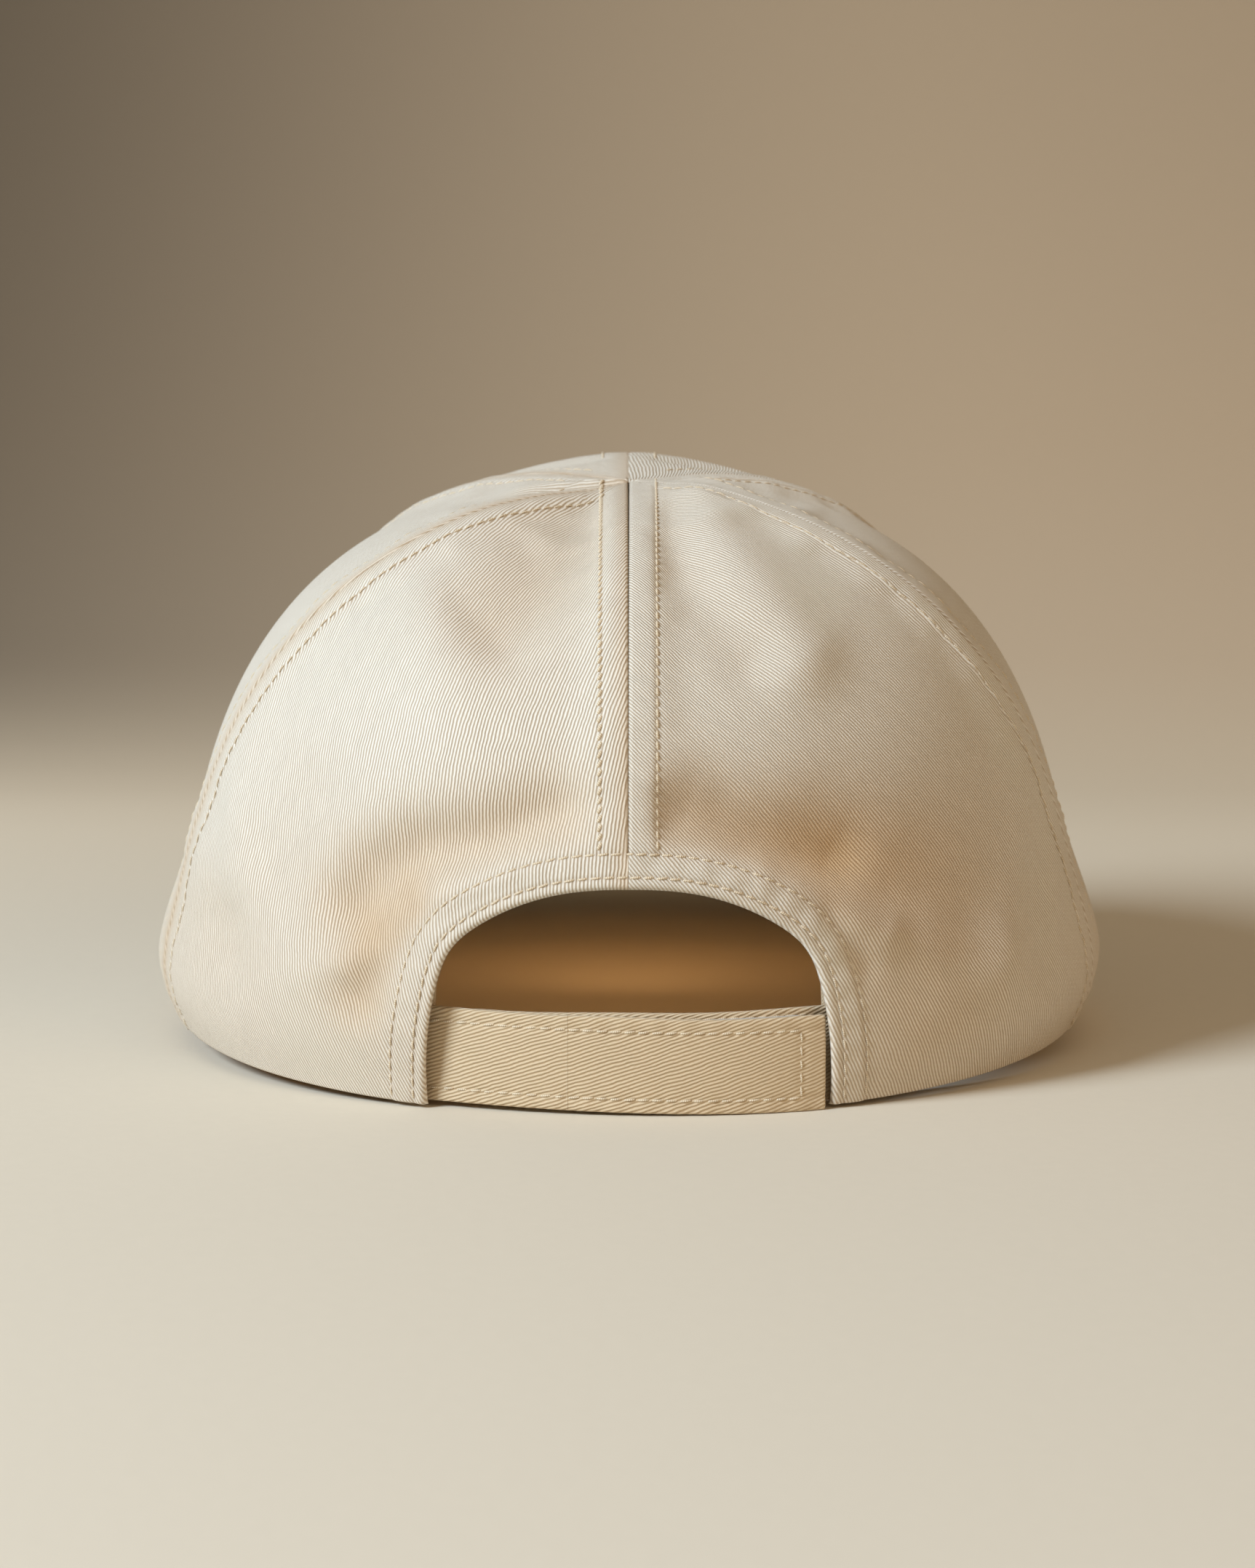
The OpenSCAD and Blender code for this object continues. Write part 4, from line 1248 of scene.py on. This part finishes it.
rows = []
for line in visor_row_lines(400):
    clear = (line[:, 0] / (CROWN_HALF_WIDTH + 1.2)) ** 2 + (line[:, 1] / (CROWN_FRONT + 1.2)) ** 2 > 1
    line = mirrored(line[clear])
    spots = np.column_stack([line, visor_z(line[:, 0], line[:, 1])])
    for up in (visor_up(spots), -visor_up(spots)):
        rows.append(stitch_mesh(spots + up * (outer_radius - 0.12), up, pitch=2.9, length=2.45, width=0.42))
stitches("visor_stitching_thread", rows, tipped, nodes=("visor_stitching",))


# ---- straps --------------------------------------------------------------------------------------

strap_rx = CROWN_HALF_WIDTH - STRAP_LEAN
strap_ry = CROWN_BACK - STRAP_LEAN
strap_edge = math.degrees(math.asin((ARCH_HALF_WIDTH - 0.6) / strap_rx))
strap_rise = STRAP + 2 * PILE + 3 * CONTACT
strap_length = 2 * math.radians(strap_edge) * (strap_rx + strap_ry) / 2


def share_of(length):
    return length / strap_length


ANCHOR = share_of(10.0)
BEND_REACH = share_of(3.5)
SPLIT = 0.35                    # where the outer strap's two pieces meet
EDGE_ROW = 2.7                  # from the strap's edges to its stitches
END_ROW = 5.0
FREE_END = 0.6                  # radius of a strap's free end
HOOK_GAP = 5.0                  # no hooks this near to where the tab bends
HOOK_TAPE = PILE * 0.6

outer_depth = THIRD_LAYER
hook_depth = outer_depth + STRAP + CONTACT
loop_depth = hook_depth + PILE + CONTACT
inner_depth = loop_depth + PILE + CONTACT
outer_root = share_of(0.8)
inner_root = 1 - share_of(3.2)
outer_end = 1 - share_of(1.0)
tab_start = outer_end - share_of(TAB_LENGTH)
inner_end = share_of(7)


def strap_point(s, depth, z):
    """A point of the straps: s is 0 at the left edge of the opening and 1 at the right."""
    s, depth, z = np.broadcast_arrays(np.asarray(s, float), depth, z)
    th = np.radians(strap_edge * (2 * s - 1))
    climb = smooth(s, 0, 1) * strap_rise
    normal = unit(np.stack([np.sin(th) / strap_rx, -np.cos(th) / strap_ry], axis=-1))
    middle = np.stack([strap_rx * np.sin(th), -strap_ry * np.cos(th)], axis=-1)
    xy = middle + normal * (climb - depth)[..., None]
    return np.concatenate([xy, z[..., None]], axis=-1)


def strap_rise_up(s, depth):
    """The outer strap's root sits a little high; the inner strap shows above the outer one."""
    if depth > hook_depth + PILE / 2:
        return 0.5 + 0.6 * smooth(s, 0.0, 1.0)
    return 1.1 * (1 - smooth(s, 0.0, 1.0))


def ring_profile(thick, low, high):
    """A rounded rectangle as (depth, height), outer face first, with its length round."""
    radius = min(thick * 0.48, 0.6)
    sine, cosine = (radius * way(np.radians(np.linspace(0, 90, 5))) for way in (np.sin, np.cos))
    face = np.linspace(low + radius, high - radius, 40)
    lower = np.stack([radius - sine, low + radius - cosine], axis=-1)
    upper = np.stack([radius - cosine, high - radius + sine], axis=-1)
    outer = np.concatenate([lower, np.column_stack([0 * face, face])[1:-1], upper])
    ring = np.concatenate([outer, outer[::-1] * [-1, 1] + [thick, 0]])
    return ring, run_of(np.vstack([ring, ring[:1]]))


def strap_relief(q, z, s, thick, low, high):
    """The cross-section's depths and heights, with its stitches sunk in and its cloth a little wavy."""
    along, side_of = (s * strap_length)[:, None], 2 * (z > STRAP_WIDTH / 2 - 0.25)
    within = (z > low + EDGE_ROW) * (z < high - EDGE_ROW)
    rows = bump_at(z, low + EDGE_ROW, 0.55) + bump_at(z, high - EDGE_ROW, 0.55)
    rows = rows + bump_at((outer_end - s[:, None]) * strap_length, END_ROW, 0.55) * within
    edges = bump_at(z, low + 1.6, 2.2) + bump_at(z, high - 1.6, 2.2)
    puff = 0.10 * ripple(along + 2 * side_of, 5.8) * edges
    fullness = 0.12 * np.sin(np.pi * np.clip((z - low) / (high - low), 0, 1)) * np.sin(along / 8.3)
    q = q + np.where(q < thick / 2, 1, -1) * 0.17 * np.clip(rows, 0, 1) - puff - fullness
    from_middle = np.abs(z - (low + high) / 2) / (high - low) * 2
    return q, z + 0.13 * np.sin(along / 6.1 + side_of) * from_middle ** 4 * (z > 1)


def strap_strip(name, s0, s1, depth, thick, low, high, free_ends, dent, **rest):
    """A strip of the strap between two places along it; rounded where it ends freely."""
    steps = max(6, int((s1 - s0) * strap_length / 0.8))
    fine = share_of(0.2) * np.arange(1, 4)
    s = np.unique(np.concatenate([np.linspace(s0, s1, steps + 1), s0 + fine, s1 - fine]))
    ring, around = ring_profile(thick, low, high)
    inset = np.zeros(len(s))
    for free, gap in zip(free_ends, ((s - s0) * strap_length, (s1 - s) * strap_length)):
        if free:
            inset = np.maximum(inset, rolled(gap, FREE_END) * 0.95)
    inwards = np.array([thick / 2, (low + high) / 2]) - ring
    towards = np.sign(inwards) * np.minimum(np.abs(inwards), 1)
    profile = ring[None] + towards[None] * inset[:, None, None]
    q, z = profile[..., 0], profile[..., 1]
    if dent:
        q, z = strap_relief(q, z, s, thick, low, high)
    points = strap_point(s[:, None], depth + q, np.maximum(z, 0) + strap_rise_up(s[:, None], depth))
    along, across = np.broadcast_arrays((s * strap_length)[:, None], around[None])
    return tube(name, standing(points), leaning_uvs(across, along, -20), **rest)


def cloth_strip(name, s0, s1, depth, free_ends, nodes):
    return strap_strip(name, s0, s1, depth, STRAP, 0, STRAP_WIDTH, free_ends, True,
                       material=strap_twill, slot="strap_twill", body=None, nodes=nodes)


def tape_strip(name, s0, s1, depth, thick, **rest):
    return strap_strip(name, s0, s1, depth, thick, TAPE_INSET, STRAP_WIDTH - TAPE_INSET,
                       (True, True), False, **rest)


def strap_spot(s, depth):
    return tuple(float(c) for c in standing(strap_point(s, depth + STRAP / 2, STRAP_WIDTH / 2)))


# Where the straps bend: the bodies on either side, the stretch that bends, and its depth
BENDS = {
    "root": ("cap", "outer_strap", outer_root - BEND_REACH, outer_root + BEND_REACH, outer_depth),
    "tab": ("outer_strap", "strap_tab", tab_start - BEND_REACH, tab_start + BEND_REACH, outer_depth),
    "inner": ("cap", "inner_strap", inner_root + share_of(3), inner_root - share_of(4), inner_depth),
}


def bend(piece, place):
    first, second, start, end, depth = BENDS[place]
    strap_spot(start, depth)
    strap_spot(end, depth)
    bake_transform(piece)


bend(cloth_strip("outer_strap_root", -ANCHOR, SPLIT, outer_depth, (True, False),
                 ("outer_strap_anchor", "outer_strap")), "root")
bend(cloth_strip("outer_strap_end", SPLIT, outer_end, outer_depth, (False, True),
                 ("outer_strap_tab",)), "tab")
bend(tape_strip("hook_tape_strip", share_of(16), outer_end - share_of(6), hook_depth, HOOK_TAPE,
                material=hook_nylon, slot="hook_nylon", body=None,
                nodes=("hook_tape", "hook_tape_tab")), "tab")
bend(cloth_strip("inner_strap_strip", inner_end, 1 + ANCHOR, inner_depth, (True, True),
                 ("inner_strap_anchor", "inner_strap")), "inner")
tape_strip("loop_tape_strip", inner_end + share_of(2), inner_root - share_of(2), loop_depth, PILE,
           material=loop_nylon, slot="loop_nylon", body="inner_strap", nodes=("loop_tape",))


def strap_row(s0, s1, z0, z1, depth, way=1):
    """Stitches on a strap's outer face, or on its inner face when way is -1."""
    s, z = np.linspace(s0, s1, 300), np.linspace(z0, z1, 300)
    level = depth + 0.14 if way > 0 else depth + STRAP - 0.14
    z = z + strap_rise_up(s, depth)
    points = strap_point(s, level, z)
    out = unit(strap_point(s, level - 1.0, z) - points)
    return stitch_mesh(points, way * out, pitch=2.6, length=2.15, width=0.42)


low_row, top_row = EDGE_ROW, STRAP_WIDTH - EDGE_ROW
upper_row = top_row + 1.4
end_s = outer_end - share_of(END_ROW)
rows = [strap_row(share_of(-1.0), SPLIT, z, z, outer_depth) for z in (low_row, top_row)]
bend(stitches("outer_strap_root_stitching", rows, standing, body=None), "root")
rows = [strap_row(SPLIT, end_s, z, z, outer_depth) for z in (low_row, top_row)]
rows.append(strap_row(end_s, end_s, low_row, top_row, outer_depth))
bend(stitches("outer_strap_end_stitching", rows, standing, body=None), "tab")
start_s, stop_s = inner_end + share_of(2), 1 + share_of(1)
rows = [strap_row(start_s, stop_s, z, z, inner_depth, -1) for z in (low_row, top_row)]
rows.append(strap_row(inner_end + share_of(1.5), inner_root, upper_row, upper_row, inner_depth))
bend(stitches("inner_strap_stitching", rows, standing, body=None), "inner")

# A hook's stem as (how far it stands out, how far it leans), and its square cross-section
HOOK_STEM = ((0.0, 0.0), (0.14, 0.02), (0.24, 0.12), (0.22, 0.26), (0.12, 0.31))
HOOK_SQUARE = ((-1, -1), (1, -1), (1, 1), (-1, 1))
HOOK_HALF = 0.07


def hooks():
    """Small nylon hooks standing on the hook tape."""
    s = np.arange(share_of(17), outer_end - share_of(7), share_of(1.35))
    z = np.arange(TAPE_INSET + 1.0, STRAP_WIDTH - TAPE_INSET - 0.8, 1.3)
    s, z = np.meshgrid(s, z, indexing="ij")
    s = s + share_of(0.65) * (np.arange(z.shape[1]) % 2)[None]
    clear = np.abs(s - tab_start) > share_of(HOOK_GAP)
    s, z = s[clear], z[clear]
    base = strap_point(s, hook_depth + HOOK_TAPE - 0.05, z)
    inwards = unit(strap_point(s, hook_depth + 2, z) - base)
    sideways = unit(strap_point(s + 0.01, hook_depth, z) - strap_point(s, hook_depth, z))
    sideways *= np.where(rng.random(len(s)) < 0.5, -1, 1)[:, None]
    verts = np.stack([
        base + inwards * rise + sideways * (lean + HOOK_HALF * dx) + np.array([0, 0, HOOK_HALF * dz])
        for rise, lean in HOOK_STEM for dx, dz in HOOK_SQUARE], axis=1)
    ring = np.arange(verts.shape[1]).reshape(len(HOOK_STEM), 4)
    nxt = np.roll(ring, -1, axis=1)
    sides = np.stack([ring[:-1], nxt[:-1], nxt[1:], ring[1:]], axis=-1).reshape(-1, 4)
    one = np.concatenate([sides, [ring[0, ::-1], ring[-1]]])
    faces = (one[None] + np.arange(len(base))[:, None, None] * verts.shape[1]).reshape(-1, 4)
    bend(make_object("hook_tape_hooks", standing(verts.reshape(-1, 3)), faces, material=hook_nylon,
                     slot="hook_nylon", body=None), "tab")


hooks()


# ---- stage, light and camera ---------------------------------------------------------------------

def ramp(tree, value, stops):
    """Colours by how far along a value is."""
    node = tree.nodes.new("ShaderNodeValToRGB")
    tree.links.new(value, node.inputs[0])
    elements = node.color_ramp.elements
    for number, (position, color) in enumerate(stops):
        element = elements[number] if number < 2 else elements.new(position)
        element.position = position
        element.color = (*color, 1.0)
    return node.outputs[0]


SHADED_PAPER = (                       # painted shade: colours along the backdrop by distance behind the cap, darker up the wall
    (0.0, (0.715, 0.665, 0.565)), (0.22, (0.745, 0.675, 0.55)), (0.34, (0.68, 0.595, 0.465)),
    (0.46, (0.60, 0.50, 0.375)), (0.62, (0.53, 0.43, 0.31)), (1.0, (0.36, 0.29, 0.205)))
SKY = ((0.1, (1.0, 0.62, 0.32)), (0.85, (1.0, 0.86, 0.66)))


def backdrop_paper():
    n = Nodes("backdrop_paper")
    x, y, _ = (value.socket for value in n.split(n.place()))
    # painted shade: the floor darkens as it curves up into the wall
    shaded_paper = ramp(n.tree, y, SHADED_PAPER)
    # painted shade: the far wall is darker towards its left
    left = n.eased(x, -0.33, 0.15, 0.2, 1.0)
    far = n.eased(y, 0.25, 0.48, 0.0, 0.9)
    grain = n.noise(n.place(), 300.0, 4.0, 0.6)
    shade = grain * 0.04 + 0.98
    color = n.tinted(shaded_paper, n.mix(far, (1.0, 1.0, 1.0), n.combine(left, left, left)))
    color = n.tinted(color, n.combine(shade, shade, shade))
    n.finish(color, grain, 0.00005, rough=0.95, sheen=0.0, specular=0.1)
    n.hidden_from_behind()
    return n.material


def backdrop():
    """A pale floor that curves up into a wall behind the cap."""
    turn_y, radius, height, far = 0.30, 0.70, 2.2, 12.0
    angles = np.radians(np.linspace(0, 90, 30))
    profile = [(-far, 0.0), (-3.0, 0.0), (-0.4, 0.0)]
    profile += [(turn_y + radius * math.sin(a), radius - radius * math.cos(a)) for a in angles]
    profile.append((turn_y + radius, height))
    verts = np.array([[(x, y, z) for x in (-far, -2.2, -1.1, 0.0, 1.1, 2.2, far)] for y, z in profile])
    index = np.arange(verts.shape[0] * verts.shape[1]).reshape(verts.shape[:2])
    faces = np.stack([index[:-1, :-1], index[:-1, 1:], index[1:, 1:], index[1:, :-1]], axis=-1).reshape(-1, 4)
    make_object("backdrop", verts, faces, material=backdrop_paper(), body=None)


def area_light(name, place, target, size, power, color):
    """A round lamp that the camera doesn't see."""
    data = bpy.data.lights.new(name, "AREA")
    data.shape = "DISK"
    data.size = size
    data.energy = power
    data.color = color
    lamp = bpy.data.objects.new(name, data)
    bpy.context.scene.collection.objects.link(lamp)
    aim = np.subtract(target, place)
    lamp.location = place
    lamp.rotation_euler = (math.atan2(math.hypot(aim[0], aim[1]), -aim[2]), 0, math.atan2(-aim[0], aim[1]))
    lamp.visible_camera = False


def studio_air():
    """Soft warm light from all round, paler from above."""
    world = bpy.data.worlds.new("studio_air")
    bpy.context.scene.world = world
    world.use_nodes = True
    nodes, links = world.node_tree.nodes, world.node_tree.links
    split = nodes.new("ShaderNodeSeparateXYZ")
    links.new(nodes.new("ShaderNodeTexCoord").outputs["Generated"], split.inputs[0])
    background = nodes["Background"]
    links.new(ramp(world.node_tree, split.outputs[2], SKY), background.inputs["Color"])
    background.inputs["Strength"].default_value = 0.36


MIDDLE = (0.0, -0.04, 0.06)
GLOW = (1.0, 0.53, 0.20)
backdrop()
area_light("key_light", (-1.28, -0.93, 1.05), MIDDLE, 0.7, 38, (0.81, 0.91, 1.0))
area_light("fill_light", (1.3, -1.3, 0.7), MIDDLE, 1.6, 6, (1.0, 0.70, 0.42))
area_light("inside_glow", (0.0, -0.04, 0.07), (0.0, 0.04, 0.0), 0.05, 0.012, GLOW)
area_light("visor_glow", (0.0, 0.0, 0.038), (0.0, 0.11, 0.0), 0.03, 0.006, GLOW)
studio_air()

lens = bpy.data.cameras.new("camera")
lens.lens = 102.9
lens.sensor_fit = "VERTICAL"
lens.sensor_height = 36.0
lens.shift_x = -0.0007
lens.clip_end = 20.0
lens.dof.use_dof = True
focus = bpy.data.objects.new("focus", None)
focus.location = (0.0, -0.105, 0.06)
bpy.context.scene.collection.objects.link(focus)
lens.dof.focus_object = focus
lens.dof.aperture_fstop = 20.0
camera = bpy.data.objects.new("camera", lens)
bpy.context.scene.collection.objects.link(camera)
camera.location = (0.0, -0.9663, 0.1859)
camera.rotation_euler = (math.radians(90 - 8.286), 0.0, 0.0)
bpy.context.scene.camera = camera
bpy.context.scene.view_settings.view_transform = "Standard"
